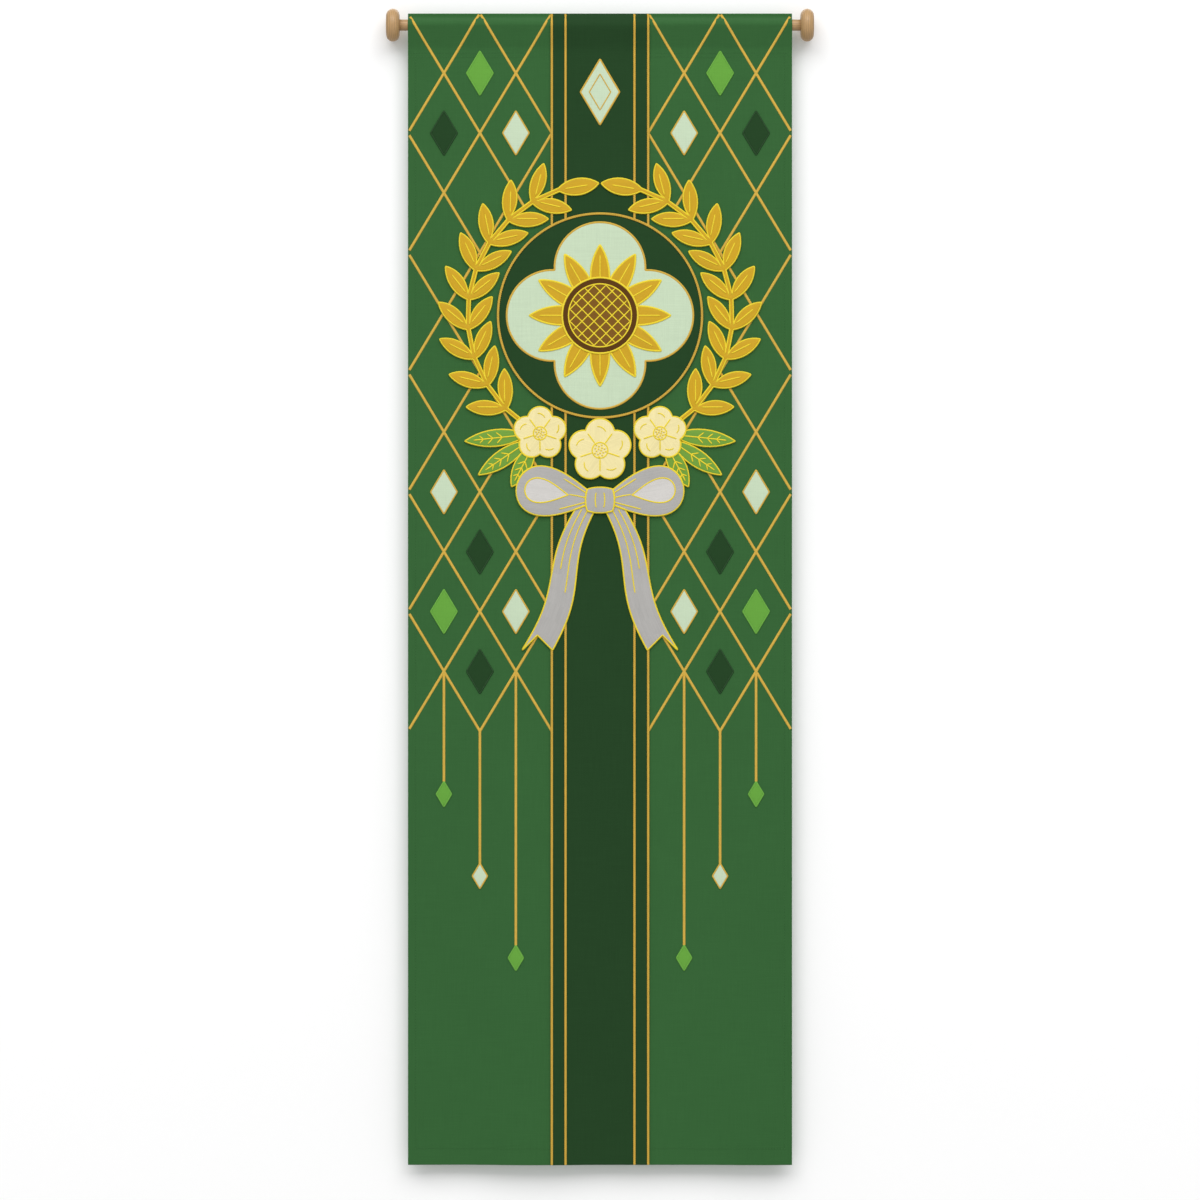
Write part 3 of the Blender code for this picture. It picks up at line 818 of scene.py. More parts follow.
# %% The round panel, the four-lobed piece and the flower
PETALS = 12
PETAL_ROOT, PETAL_TIP, PETAL_RISE = 0.056, 0.112, 0.005
HEART_RADIUS, NET_RADIUS, NET_GAP, NET_LINE = 0.060, 0.050, 0.0135, 0.0019
NET_INSET, NET_SHORTEST = 0.001, 0.006
LOBE_PLACE, LOBE_RADIUS, LOBE_EDGE = 0.076, 0.072, ("gold", 0.0034)
VEIN_ENDS = (HEART_RADIUS - 0.002, PETAL_TIP - 0.016)


def flower():
    petals, grain = [], []
    turn = math.tau / PETALS
    for i in range(PETALS):
        root = polar(MIDDLE, PETAL_ROOT, turn * (i - 0.5))
        tip = polar(MIDDLE, PETAL_TIP, turn * i)
        next_root = polar(MIDDLE, PETAL_ROOT, turn * (i + 0.5))
        petals += bulge(root, tip, PETAL_RISE, 8) + bulge(tip, next_root, PETAL_RISE, 8)
        grain.append((polar(MIDDLE, PETAL_ROOT, turn * i), tip))
    cut_piece("flower_petals", petals, 3, "ochre", grain, gap=0.005)
    for i in range(PETALS):
        sew_line([polar(MIDDLE, radius, turn * i) for radius in VEIN_ENDS], 3)
    ring = circle(MIDDLE, NET_RADIUS, 60)
    cut_piece("flower_heart", circle(MIDDLE, HEART_RADIUS, 72), 4, "brown", inner=ring, gap=0.005)
    sew_line([*ring, ring[0]], 4, width=OUTLINE)
    net(NET_RADIUS, NET_GAP)


def net(radius, gap):
    """Crossing stitched lines inside a circle."""
    for lean in (math.radians(45), math.radians(-45)):
        way = Vector((math.cos(lean), math.sin(lean)))
        side = Vector((-way.y, way.x))
        count = int(radius / gap)
        for i in range(-count, count + 1):
            half = math.sqrt(max(radius**2 - (i * gap) ** 2, 0)) - NET_INSET
            if half > NET_SHORTEST:
                middle = MIDDLE + side * (i * gap)
                sew_line([middle - way * half, middle + way * half], 4, width=NET_LINE)


cut_piece("round_panel", circle(MIDDLE, DISC_RADIUS, 120), 1, "dark", edging=None)
cut_piece("quatrefoil", foil(MIDDLE, 4, LOBE_PLACE, LOBE_RADIUS, 0, 30), 2, "mint", edging=LOBE_EDGE)
flower()
print(len(SEAMS), "lines to sew on the flower")

# %% [markdown]
# ## The wreath
# Each branch is one cut piece: a stem along a circle and pairs of leaves that lean out from it. Every leaf
# gets a short stitched vein and threads that run along it.

# %% The two branches
WREATH_RADIUS = 0.210
STEM_START, WREATH_START, WREATH_END = (math.radians(a) for a in (-57, -45, 72))
LEAF_PAIRS = 9
LEAF_LENGTH, LEAF_WIDTH, LEAF_STALK, STEM_WIDTH = 0.064, 0.023, 0.007, 0.005
LEAF_LEAN = math.radians(42)
LEAF_VEIN = (0.16, 0.72)


def leaf_tip(angle, side):
    """Where a leaf that grows from the stem at that angle ends. Side 1 is outwards, -1 inwards."""
    along = Vector((-math.sin(angle), math.cos(angle))) * math.cos(LEAF_LEAN)
    out = Vector((math.cos(angle), math.sin(angle))) * math.sin(LEAF_LEAN)
    return polar(MIDDLE, WREATH_RADIUS, angle) + LEAF_LENGTH * (along + side * out)


def side_leaf(angle, side):
    edge = WREATH_RADIUS + side * STEM_WIDTH / 2
    low, high = polar(MIDDLE, edge, angle), polar(MIDDLE, edge, angle + LEAF_STALK / WREATH_RADIUS)
    first, last = (low, high) if side > 0 else (high, low)
    tip = leaf_tip(angle, side)
    rise = (LEAF_WIDTH - LEAF_STALK / 2) / 2
    return [*bulge(first, tip, rise), *bulge(tip, last, rise), last]


def wreath():
    angles = steps(WREATH_START, WREATH_END, LEAF_PAIRS)[:-1]
    outer, inner = (WREATH_RADIUS + side * STEM_WIDTH / 2 for side in (1, -1))
    outline = [polar(MIDDLE, outer, STEM_START)]
    outline += [place for angle in angles for place in side_leaf(angle, 1)]
    low, high = polar(MIDDLE, outer, WREATH_END), polar(MIDDLE, inner, WREATH_END)
    tip = polar(MIDDLE, WREATH_RADIUS, WREATH_END + LEAF_LENGTH / WREATH_RADIUS)
    outline += [*bulge(low, tip, LEAF_WIDTH / 2), *bulge(tip, high, LEAF_WIDTH / 2), high]
    outline += [place for angle in reversed(angles) for place in side_leaf(angle, -1)]
    outline.append(polar(MIDDLE, inner, STEM_START))
    pairs = [(angle, side) for angle in angles for side in (1, -1)]
    leaves = [(polar(MIDDLE, WREATH_RADIUS, angle + 0.02), leaf_tip(angle, side)) for angle, side in pairs]
    leaves.append((polar(MIDDLE, WREATH_RADIUS, WREATH_END), tip))
    for name, side in SIDES:
        grain = [on_side(side, leaf)[::side] for leaf in leaves]
        shape = on_side(side, outline)
        cut_piece(f"wreath_{name}", shape, 2, "ochre", grain, gap=0.0055, edging=FINE_EDGE)
        for root, tip in grain:
            sew_line([root.lerp(tip, share) for share in LEAF_VEIN], 2)


wreath()
print(len(SEAMS), "lines to sew so far")

# %% [markdown]
# ## Leaves and roses at the foot of the wreath
# Three green leaves spread from behind each side rose. A rose is five lobes with a line between them, a
# stitched ring, and knots in its middle, which come later with the other stitches.

# %% Green leaves and cream roses
ROSES = (("left", -0.0953, -0.187, 0.042), ("middle", 0, -0.214, 0.050), ("right", 0.0953, -0.187, 0.042))
SPRAY = ((-6, 0.100), (-34, 0.098), (-62, 0.076))
SPRAY_START, SPRAY_RISE = 0.020, 0.013
MAIN_VEIN, SIDE_VEINS, SIDE_REACH = (0.05, 0.86), (0.40, 0.55, 0.70), 0.0085
# Shares of a rose's radius
LOBE_SHARE, GRAIN_SHARE, RING_PLACE, KNOTS_SHARE = 0.46, 0.2, 0.25, 0.21
FOLD_SHARES = (0.27, 0.66)
# A petal's curled edge: how far out it ends, how much further in and how far round it starts, and its sweep
CURL_OUT, CURL_IN, CURL_START, CURL_SWEEP = 0.76, 0.14, -0.3, 0.42
KNOT_RISE = 0.0004
ROSE_KNOTS, SUNFLOWER_TURN = 16, 2.39996
KNOTS = []


def green_leaves():
    middle = MIDDLE + Vector(ROSES[-1][1:3])
    for i, (direction, length) in enumerate(SPRAY, 1):
        root = polar(middle, SPRAY_START, math.radians(direction))
        tip = polar(root, length, math.radians(direction))
        outline = bulge(root, tip, SPRAY_RISE) + bulge(tip, root, SPRAY_RISE)
        way = (tip - root).normalized()
        side = Vector((-way.y, way.x))
        veins = [[root.lerp(tip, share) for share in MAIN_VEIN]]
        for share in SIDE_VEINS:
            start = root.lerp(tip, share)
            reach = SIDE_REACH * math.sin(math.pi * (share + 0.06))
            veins += [[start, start + way * reach * 1.1 + side * s * reach] for s in (1, -1)]
        for name, turn in SIDES:
            shape, grain = on_side(turn, outline), [on_side(turn, (root, tip))[::turn]]
            cut_piece(f"leaf_{name}_{i}", shape, 2, "leaf", grain, edging=FINE_EDGE)
            for vein in veins:
                sew_line(on_side(turn, vein), 2)


def rose(name, x, z, radius):
    centre = MIDDLE + Vector((x, z))
    outline = foil(centre, 5, radius * (1 - LOBE_SHARE), radius * LOBE_SHARE, math.pi / 2, 16)
    axes = [math.pi / 2 + math.tau * i / 5 for i in range(5)]
    grain = [(polar(centre, radius * GRAIN_SHARE, a), polar(centre, radius, a)) for a in axes]
    cut_piece(f"rose_{name}", outline, 3, "cream", grain, gap=0.005)
    heart = circle(centre, radius * RING_PLACE, 28)
    sew_line([*heart, heart[0]], 3, width=OUTLINE)
    for a in axes:
        sew_line([polar(centre, radius * share, a + math.pi / 5) for share in FOLD_SHARES], 3, width=OUTLINE)
        curl = []
        for share in steps(0, 1, 8):
            out = radius * (CURL_OUT - CURL_IN * (1 - share) ** 2)
            curl.append(polar(centre, out, a + CURL_START + CURL_SWEEP * share))
        sew_line(curl, 3, width=CURL)
    for i in range(ROSE_KNOTS):
        reach = radius * KNOTS_SHARE * math.sqrt((i + 0.5) / ROSE_KNOTS)
        KNOTS.append((*polar(centre, reach, i * SUNFLOWER_TURN), layer_height(3) + PIECE + SWELL + KNOT_RISE))


green_leaves()
for name, x, z, radius in ROSES:
    rose(name, x, z, radius)
print(len(KNOTS), "knots to sew")

# %% [markdown]
# ## The ribbon bow
# Two loops, two notched tails and a knot. A loop shows its paler inner side, which is a second line in the
# same piece, and stitched folds run out from the knot.

# %% Loops, tails and knot
KNOT = MIDDLE + Vector((0, -0.293))
KNOT_HALF = Vector((0.020, 0.017))
LOOP_LENGTH, LOOP_WIDTH, LOOP_TILT = 0.134, 0.078, math.radians(9)
TAIL_LENGTH, TAIL_SPREAD, TAIL_WAVE, TAIL_NOTCH = 0.238, 0.084, 0.008, 0.024
TAIL_WIDTHS = (0.030, 0.048)
# Length and width of a loop's inner side and where it begins, as shares of the loop's own
INNER_LENGTH, INNER_WIDTH, INNER_START = 0.52, 0.50, 0.38
# How far across the tail each crease lies, and where it ends
CREASE_START, CREASES = 0.06, ((-0.3, 0.62), (0.35, 0.46))
# Points along and across the right loop for each stitched fold
FOLDS = (
    ((0.022, 0), (0.036, 0.001), (0.050, 0.001)),
    ((0.022, 0.007), (0.040, 0.015), (0.062, 0.0245)),
    ((0.022, -0.007), (0.040, -0.015), (0.062, -0.0245)),
)
# Where the knot's two folds lie from its middle, how much they bend, and how high they reach
KNOT_FOLD, KNOT_BEND, KNOT_REACH = 0.006, 0.0016, 0.012


def in_loop(along, across):
    """A point of the right loop from its measure along and across."""
    c, s = math.cos(LOOP_TILT), math.sin(LOOP_TILT)
    return KNOT + Vector((along * c - across * s, along * s + across * c))


def loop_outline(length, width, start, count):
    """A drop shape that begins at a distance from the knot."""
    turns = [math.tau * i / count for i in range(count)]
    swell = [math.sin(turn) * math.sin(turn / 2) ** 1.3 for turn in turns]
    largest = max(swell)
    return [
        in_loop(start + length * (1 - math.cos(turn)) / 2, -width / 2 * across / largest)
        for turn, across in zip(turns, swell)
    ]


def tail_middle(share):
    """The tail's middle line."""
    across = CLEAR + TAIL_WIDTHS[0] / 2 + TAIL_SPREAD * share + TAIL_WAVE * math.sin(math.tau * share)
    return Vector((across, KNOT.y - TAIL_LENGTH * share))


def tail_point(share, side):
    """A point across the tail, with side -1 and 1 at its edges."""
    half = (TAIL_WIDTHS[0] + (TAIL_WIDTHS[1] - TAIL_WIDTHS[0]) * share) / 2
    return tail_middle(share) + Vector((side * half, 0))


def bow():
    left = [tail_point(share, -1) for share in steps(0, 1, 32)]
    right = [tail_point(share, 1) for share in steps(0, 1, 32)]
    notch = (left[-1] + right[-1]) / 2 + Vector((0, TAIL_NOTCH))
    tail = [*left, notch, *reversed(right)]
    tail_grain = [(tail_middle(a), tail_middle(b)) for a, b in zip(steps(0, 0.9, 9), steps(0.1, 1, 9))]
    creases = [[tail_point(share, side) for share in steps(CREASE_START, end, 16)] for side, end in CREASES]
    loop = loop_outline(LOOP_LENGTH, LOOP_WIDTH, 0, 48)
    inner_size = (LOOP_LENGTH * INNER_LENGTH, LOOP_WIDTH * INNER_WIDTH, LOOP_LENGTH * INNER_START)
    opening = loop_outline(*inner_size, 32)
    folds = [[in_loop(*place) for place in fold] for fold in FOLDS]
    loop_grain = (in_loop(0, 0), in_loop(LOOP_LENGTH, 0))
    for name, side in SIDES:
        grain = [on_side(side, pair) for pair in tail_grain]
        cut_piece(f"bow_tail_{name}", on_side(side, tail), 2, "silver", grain)
        for crease in creases:
            sew_line(on_side(side, crease), 2)
        shape, hole = on_side(side, loop), on_side(side, opening)
        cut_piece(f"bow_loop_{name}", shape, 3, "silver", [on_side(side, loop_grain)], hole)
        sew_line(on_side(side, [*opening, opening[0]]), 3, width=OUTLINE)
        for fold in folds:
            sew_line(on_side(side, fold), 3)
    corners = [KNOT + KNOT_HALF * Vector(sides) for sides in ((-1, -1), (1, -1), (1, 1), (-1, 1))]
    knot = [place for i in range(4) for place in bulge(corners[i - 1], corners[i], 0.003)]
    upright = Vector((0, 0.01))
    cut_piece("bow_knot", knot, 4, "silver", [(KNOT - upright, KNOT + upright)], gap=0.004)
    for side in (-1, 1):
        bends = [(side * (KNOT_FOLD + KNOT_BEND * (1 - up * up)), KNOT_REACH * up) for up in steps(-1, 1, 8)]
        sew_line([KNOT + Vector(place) for place in bends], 4)


bow()
print(len(SEAMS), "lines to sew so far")

# %% [markdown]
# ## Lozenges and the trellis
# The side panels carry a trellis of gold lines, two cells wide, and a small lozenge in some of the cells.
# From the crossings at its foot hang plumb lines of different lengths, each with a small lozenge below.

# %% Lozenges, trellis and plumb lines
COLUMNS, ROWS = 4, 12
CELL = Vector(((WIDTH / 2 - BAND_HALF) / COLUMNS, 0.095))
LOZENGE_HALF, PENDANT_HALF = Vector((0.021, 0.035)), Vector((0.012, 0.020))
LOZENGES = (
    (2, 1, "bright"),
    (1, 2, "mint"),
    (3, 2, "dark"),
    (3, 8, "mint"),
    (2, 9, "dark"),
    (1, 10, "mint"),
    (3, 10, "bright"),
    (2, 11, "dark"),
)
PENDANTS = ((1, 11, 1.500, "bright"), (2, 12, 1.370, "mint"), (3, 11, 1.240, "bright"))
TOP_CENTRE, TOP_HALF, TOP_EDGE = Vector((0, TOP - 0.125)), Vector((0.031, 0.052)), ("gold", 0.0030)
INNER_SHARE = 0.55
SMALL_EDGE = 0.0026
EDGINGS = {"mint": ("gold", SMALL_EDGE), "bright": ("bright", SMALL_EDGE), "dark": ("dark", SMALL_EDGE)}
TRELLIS_WIDTH = 0.0042
UNDER_BRAID, FROM_EDGE, FROM_TOP = BRAID_WIDTH / 2 - 0.0015, 0.0022, 0.002
# The shortest part of a trellis line that is sewn, as a share of it
SHORTEST = 0.02


def crossing(side, column, row):
    """A place of the trellis by its column from the band and its row from the top."""
    return Vector((side * (BAND_HALF + CELL.x * column), TOP - CELL.y * row))


def outside_wreath(start, end, radius):
    """The stretches of a line that lie outside a circle round the wreath's middle."""
    way = end - start
    a, b = way.length_squared, 2 * (start - MIDDLE).dot(way)
    under_root = b * b - 4 * a * ((start - MIDDLE).length_squared - radius**2)
    if under_root <= 0:
        return [(start, end)]
    near, far = ((-b + sign * math.sqrt(under_root)) / (2 * a) for sign in (-1, 1))
    parts = [(0, min(near, 1)), (max(far, 0), 1)]
    return [(start.lerp(end, p), start.lerp(end, q)) for p, q in parts if q - p > SHORTEST]


def trellis(side):
    for row, column in ((row, column) for row in range(ROWS) for column in range(COLUMNS)):
        lean = (column + row) % 2
        start, end = crossing(side, column, row + lean), crossing(side, column + 1, row + 1 - lean)
        inset = UNDER_BRAID / CELL.x if column == 0 else 0
        edge = FROM_EDGE / CELL.x if column == COLUMNS - 1 else 0
        start, end = start.lerp(end, inset), start.lerp(end, 1 - edge)
        if row == 0 and lean:
            end = start.lerp(end, 1 - FROM_TOP / CELL.y)
        elif row == 0:
            start = start.lerp(end, FROM_TOP / CELL.y)
        for part in outside_wreath(start, end, WREATH_RADIUS):
            sew_line(part, -1, "gold", TRELLIS_WIDTH, gap=0.004)


def lozenges(side, name):
    for i, (column, row, cloth) in enumerate(LOZENGES, 1):
        outline = lozenge(crossing(side, column, row), LOZENGE_HALF)
        cut_piece(f"lozenge_{name}_{i}", outline, 0, cloth, edging=EDGINGS[cloth])
    for column, row, drop, cloth in PENDANTS:
        centre = Vector((crossing(side, column, row).x, TOP - drop))
        outline = lozenge(centre, PENDANT_HALF)
        cut_piece(f"pendant_{name}_{column}", outline, 0, cloth, gap=0.004, edging=EDGINGS[cloth])
        line = [crossing(side, column, row), centre + Vector((0, PENDANT_HALF.y))]
        sew_line(line, -1, "gold", TRELLIS_WIDTH, gap=0.008)


for side, name in ((-1, "left"), (1, "right")):
    trellis(side)
    lozenges(side, name)
cut_piece("top_lozenge", lozenge(TOP_CENTRE, TOP_HALF), 1, "mint", edging=TOP_EDGE)
inner_line = lozenge(TOP_CENTRE, TOP_HALF * INNER_SHARE)
sew_line([*inner_line, inner_line[0]], 1, "gold", CURL)

# %% [markdown]
# ## Satin stitch with Geometry Nodes
# Satin stitch is a ridge of thread over a line. The lines become one mesh of edges that carries, for each
# point, the width, the lowest and highest height and the length so far. The tree sweeps a half-round
# profile along them and then sets each point's height, so one tree sews every edge of one colour.

# %% The tree that sews ridges
PROFILE = ((1, 0), (0.97, 0.45), (0.62, 0.86), (0, 1), (-0.62, 0.86), (-0.97, 0.45), (-1, 0))


class Tree(Graph):
    """A Geometry Nodes tree with inputs for a geometry, a thread and the named sizes."""

    def __init__(self, name, inputs):
        super().__init__(bpy.data.node_groups.new(name, "GeometryNodeTree"))
        face = self.tree.interface
        face.new_socket("Geometry", in_out="INPUT", socket_type="NodeSocketGeometry")
        face.new_socket("Geometry", in_out="OUTPUT", socket_type="NodeSocketGeometry")
        self.names = {}
        for label, kind in {**inputs, "Thread": "Material"}.items():
            made = face.new_socket(label, in_out="INPUT", socket_type=f"NodeSocket{kind}")
            self.names[label] = made.identifier
        self.group = self.node("NodeGroupInput")

    def read(self, name):
        """A named attribute."""
        return self.node("GeometryNodeInputNamedAttribute", {"Name": name}, data_type="FLOAT")["Attribute"]

    def curve(self, mesh):
        """The edges of a mesh as a curve."""
        return self.node("GeometryNodeMeshToCurve", {"Mesh": mesh})["Curve"]

    def spaced(self):
        """The lines that come in, with a point at each step."""
        values = {"Curve": self.curve(self.group["Geometry"]), "Length": self.group["Step"]}
        return self.node("GeometryNodeResampleCurve", values, mode="LENGTH")["Curve"]

    def swept(self, curve, profile, **more):
        """A closed tube along a curve."""
        values = {"Curve": curve, "Profile Curve": profile, "Fill Caps": True, **more}
        return self.node("GeometryNodeCurveToMesh", values)["Mesh"]

    def smooth(self, geometry):
        return self.node("GeometryNodeSetShadeSmooth", {"Geometry": geometry})["Geometry"]

    def end(self, geometry):
        """Realizes instances, sets the thread's material and ends the tree."""
        real = self.node("GeometryNodeRealizeInstances", {"Geometry": geometry})["Geometry"]
        values = {"Geometry": real, "Material": self.group["Thread"]}
        self.node("NodeGroupOutput", {0: self.node("GeometryNodeSetMaterial", values)["Geometry"]})
        return self


def grown(name, lines, facts, tree, thread, slot, *nodes, **values):
    """The piece that a tree makes from lines of points, with facts as attributes of the points."""
    start = bpy.data.meshes.new(name)
    points, edges = [], []
    for line in lines:
        edges += [(len(points) + i, len(points) + i + 1) for i in range(len(line) - 1)]
        points += [tuple(place) for place in line]
    start.from_pydata(points, edges, [])
    for label, parts in facts.items():
        start.attributes.new(label, "FLOAT", "POINT").data.foreach_set("value", np.concatenate(parts))
    source = placed(name, start)
    modifier = source.modifiers.new(name, "NODES")
    modifier.node_group = tree.tree
    for label, value in {**values, "Thread": THREADS[thread]}.items():
        modifier[tree.names[label]] = value
    bpy.context.view_layer.update()
    evaluated = source.evaluated_get(bpy.context.evaluated_depsgraph_get())
    mesh = bpy.data.meshes.new_from_object(evaluated)
    bpy.data.objects.remove(source)
    mesh.name = name
    print(name, "from", len(lines), "lines:", len(mesh.polygons), "faces")
    return keep(name, mesh, THREADS[thread], slot, *nodes)


def profile_of_ridge():
    """The half-round profile as a loop of edges, with its share of the height as an attribute."""
    mesh = bpy.data.meshes.new("ridge profile")
    count = len(PROFILE)
    mesh.from_pydata([(x, 0, 0) for x, up in PROFILE], [(i, (i + 1) % count) for i in range(count)], [])
    mesh.attributes.new("up", "FLOAT", "POINT").data.foreach_set("value", [up for x, up in PROFILE])
    return bpy.data.objects.new("ridge profile", mesh)


def ridge_tree():
    tree = Tree("satin stitch", {"Profile": "Object"})
    values = {"Curve": tree.curve(tree.group["Geometry"])}
    line = tree.node("GeometryNodeSetCurveNormal", values, mode="Z_UP")["Curve"]
    loop = tree.node("GeometryNodeObjectInfo", {"Object": tree.group["Profile"]})["Geometry"]
    tube = tree.swept(line, tree.curve(loop), Scale=tree.read("width") * 0.5)
    place = tree.node("ShaderNodeSeparateXYZ", {0: tree.node("GeometryNodeInputPosition")["Position"]})
    low, high = tree.read("low"), tree.read("high")
    height = low + (high - low) * tree.read("up")
    corner = {"X": place["X"], "Y": tree.read("ground") - height, "Z": place["Y"]}
    point = tree.node("ShaderNodeCombineXYZ", corner)["Vector"]
    return tree.end(tree.node("GeometryNodeSetPosition", {"Geometry": tube, "Position": point})["Geometry"])


# The share of its width that an open yellow line has at its ends
POINTED = 0.45
# How far a ridge reaches into the cloth below it
OVERLAP = 0.0001


def sewn(tint, slot, tree, loop):
    """All the ridges of one thread colour as one piece."""
    lines, facts = [], {"width": [], "low": [], "high": [], "ground": [], "along": []}
    for seam_tint, width, line, low, top in SEAMS:
        if seam_tint != tint:
            continue
        lines.append(np.column_stack([line, np.zeros(len(line))]))
        widths = np.full(len(line), width)
        if tint == "yellow" and math.dist(line[0], line[-1]) > width:
            widths[[0, -1]] *= POINTED
        facts["width"].append(widths)
        facts["low"].append(np.concatenate([low, low[: len(line) - len(low)]]) - OVERLAP)
        facts["high"].append(np.full(len(line), top))
        facts["ground"].append(on_front(line[:, 0], line[:, 1], 0)[:, 1])
        facts["along"].append(np.concatenate([[0], np.cumsum(np.hypot(*np.diff(line, axis=0).T))]))
    return grown(f"{tint}_satin_stitch", lines, facts, tree, tint, slot, Profile=loop)


satin_stitch, ridge_loop = ridge_tree(), profile_of_ridge()
slots = {"yellow": "gold", "gold": "gold", "bright": "bright", "dark": "dark"}
stitching = [sewn(tint, slot, satin_stitch, ridge_loop) for tint, slot in slots.items()]
bpy.data.objects.remove(ridge_loop)

# %% [markdown]
# ## Gold braid
# Braid is plaited: three strands swing from side to side one after the other, and each rises where it
# crosses another. A sine moves a strand sideways and a sine of twice the speed moves it up and down. The
# tree does that along any line, and a straight cord in the middle closes the gaps between the strands.

# %% The tree that plaits braid
PLAIT, STRAND, STRAND_RISE = 0.0095, 0.00075, 0.0004
PLAIT_STEP = 0.0016
BRAID_TOP, BRAID_BOTTOM, PATH_STEP = TOP - 0.0012, BOTTOM + 0.0006, 0.003


def plait_tree():
    tree = Tree("gold braid", dict.fromkeys(("Step", "Turns", "Reach", "Rise", "Strand"), "Float"))
    group, line = tree.group, tree.spaced()
    along = tree.node("GeometryNodeSplineParameter")["Length"]
    values = {"Geometry": line, "Name": "along", "Value": along}
    line = tree.node("GeometryNodeStoreNamedAttribute", values, data_type="FLOAT", domain="POINT")["Geometry"]
    tangent = tree.node("GeometryNodeInputTangent")["Tangent"]
    side = tree.node("ShaderNodeVectorMath", {0: (0, -1, 0), 1: tangent}, operation="CROSS_PRODUCT")[0]
    values = {"Resolution": 6, "Radius": group["Strand"]}
    cord = tree.node("GeometryNodeCurvePrimitiveCircle", values)["Curve"]
    strands = [line]
    for third in range(3):
        turn = along * group["Turns"] + math.tau * third / 3
        swing = tree.sine(turn) * group["Reach"]
        across = tree.node("ShaderNodeVectorMath", {0: side, "Scale": swing}, operation="SCALE")[0]
        rise = tree.node("ShaderNodeCombineXYZ", {"Y": tree.sine(turn * 2) * group["Rise"]})["Vector"]
        offset = tree.node("ShaderNodeVectorMath", {0: across, 1: rise}, operation="ADD")[0]
        moved = tree.node("GeometryNodeSetPosition", {"Geometry": line, "Offset": offset})
        strands.append(moved["Geometry"])
    joined = tree.node("GeometryNodeJoinGeometry")
    for strand in strands:
        tree.join(strand, joined.node.inputs[0])
    return tree.end(tree.smooth(tree.swept(joined["Geometry"], cord)))


def line_paths():
    """The middle of each length of braid on the band, with its end tucked under the ring."""
    reach = DISC_RADIUS + BRAID_WIDTH / 4
    paths = []
    for x in BRAID_LINES:
        stop = math.sqrt(reach**2 - x**2)
        for top, bottom in ((BRAID_TOP, MIDDLE.y + stop), (MIDDLE.y - stop, BRAID_BOTTOM)):
            z = np.linspace(top, bottom, math.ceil((top - bottom) / PATH_STEP))
            paths.append(on_front(x, z, layer_height(1) + PIECE / 2))
    return paths


def ring_path():
    ring = dense(circle(MIDDLE, DISC_RADIUS, 160), 0.01)
    ring = np.concatenate([ring, ring[:1]])
    return [on_front(ring[:, 0], ring[:, 1], layer_height(2) + PIECE / 2)]


def braid(name, paths, turns, *nodes):
    sizes = {"Step": PLAIT_STEP, "Reach": BRAID_WIDTH / 2 - STRAND, "Rise": STRAND_RISE, "Strand": STRAND}
    return grown(name, paths, {}, plait, "gold", "gold", *nodes, Turns=turns, **sizes)


plait = plait_tree()
line_nodes = [f"braid_{part}_{i}" for part in ("upper", "lower") for i in (1, 2, 3, 4)]
stitching.append(braid("gold_braid_lines", line_paths(), math.tau / PLAIT, *line_nodes))
ring_length = math.tau * DISC_RADIUS
ring_turns = math.tau * round(ring_length / PLAIT) / ring_length
stitching.append(braid("gold_braid_ring", ring_path(), ring_turns, "disc_braid"))

# %% [markdown]
# ## Running stitches and knots
# A row of short stitches holds each hem and the pocket's seam, and shows on both faces. Another tree lays
# one bead at each step of a line, long along the line for a stitch and round for a knot.


# %% The tree that lays stitches
def stitch_tree():
    tree = Tree("running stitch", {"Step": "Float", "Size": "Vector"})
    points = tree.spaced()
    axes = {"Primary Axis": tree.node("GeometryNodeInputTangent")["Tangent"], "Secondary Axis": (0, -1, 0)}
    way = tree.node("FunctionNodeAxesToRotation", axes, primary_axis="X", secondary_axis="Z")["Rotation"]
    bead = tree.smooth(tree.node("GeometryNodeMeshIcoSphere", {"Radius": 0.5, "Subdivisions": 1})["Mesh"])
    values = {"Points": points, "Instance": bead, "Rotation": way, "Scale": tree.group["Size"]}
    return tree.end(tree.node("GeometryNodeInstanceOnPoints", values)["Instances"])


BELOW_FLAP = SEAM - FLAP - 0.002
ABOVE_EDGE = BOTTOM + 0.003
LONG_SEAM = 0.05
LIFT, BEHIND_FLAP = 0.0001, 0.0004
KNOT_LINE = 0.0002
# Where the stitch rows lie: from the side, from the lower edge, below the pocket's seam, between its two rows
SIDE_ROW, LOW_ROW, SEAM_ROW, ROW_STEP = 0.012, 0.026, 0.002, 0.006


def on_back(x, z):
    """A point just behind the ground cloth, where its hems make it twice as thick."""
    doubled = (np.abs(x) > WIDTH / 2 - SIDE_HEM - PAST_HEM) | (z < BOTTOM + BOTTOM_HEM + PAST_HEM)
    return on_front(x, z, -THICK - LIFT - HEM_TURN * doubled)


def seams_on_back():
    """Every long seam again on the back of the ground cloth, where its stitches come through."""
    lines = [seam[2] for seam in SEAMS]
    lines += [path[:, (0, 2)] for path in [*line_paths(), *ring_path()]]
    lines = [line[(line[:, 1] < BELOW_FLAP) & (line[:, 1] > ABOVE_EDGE)] for line in lines]
    return [on_back(*line.T) for line in lines if np.hypot(*np.diff(line, axis=0).T).sum() > LONG_SEAM]


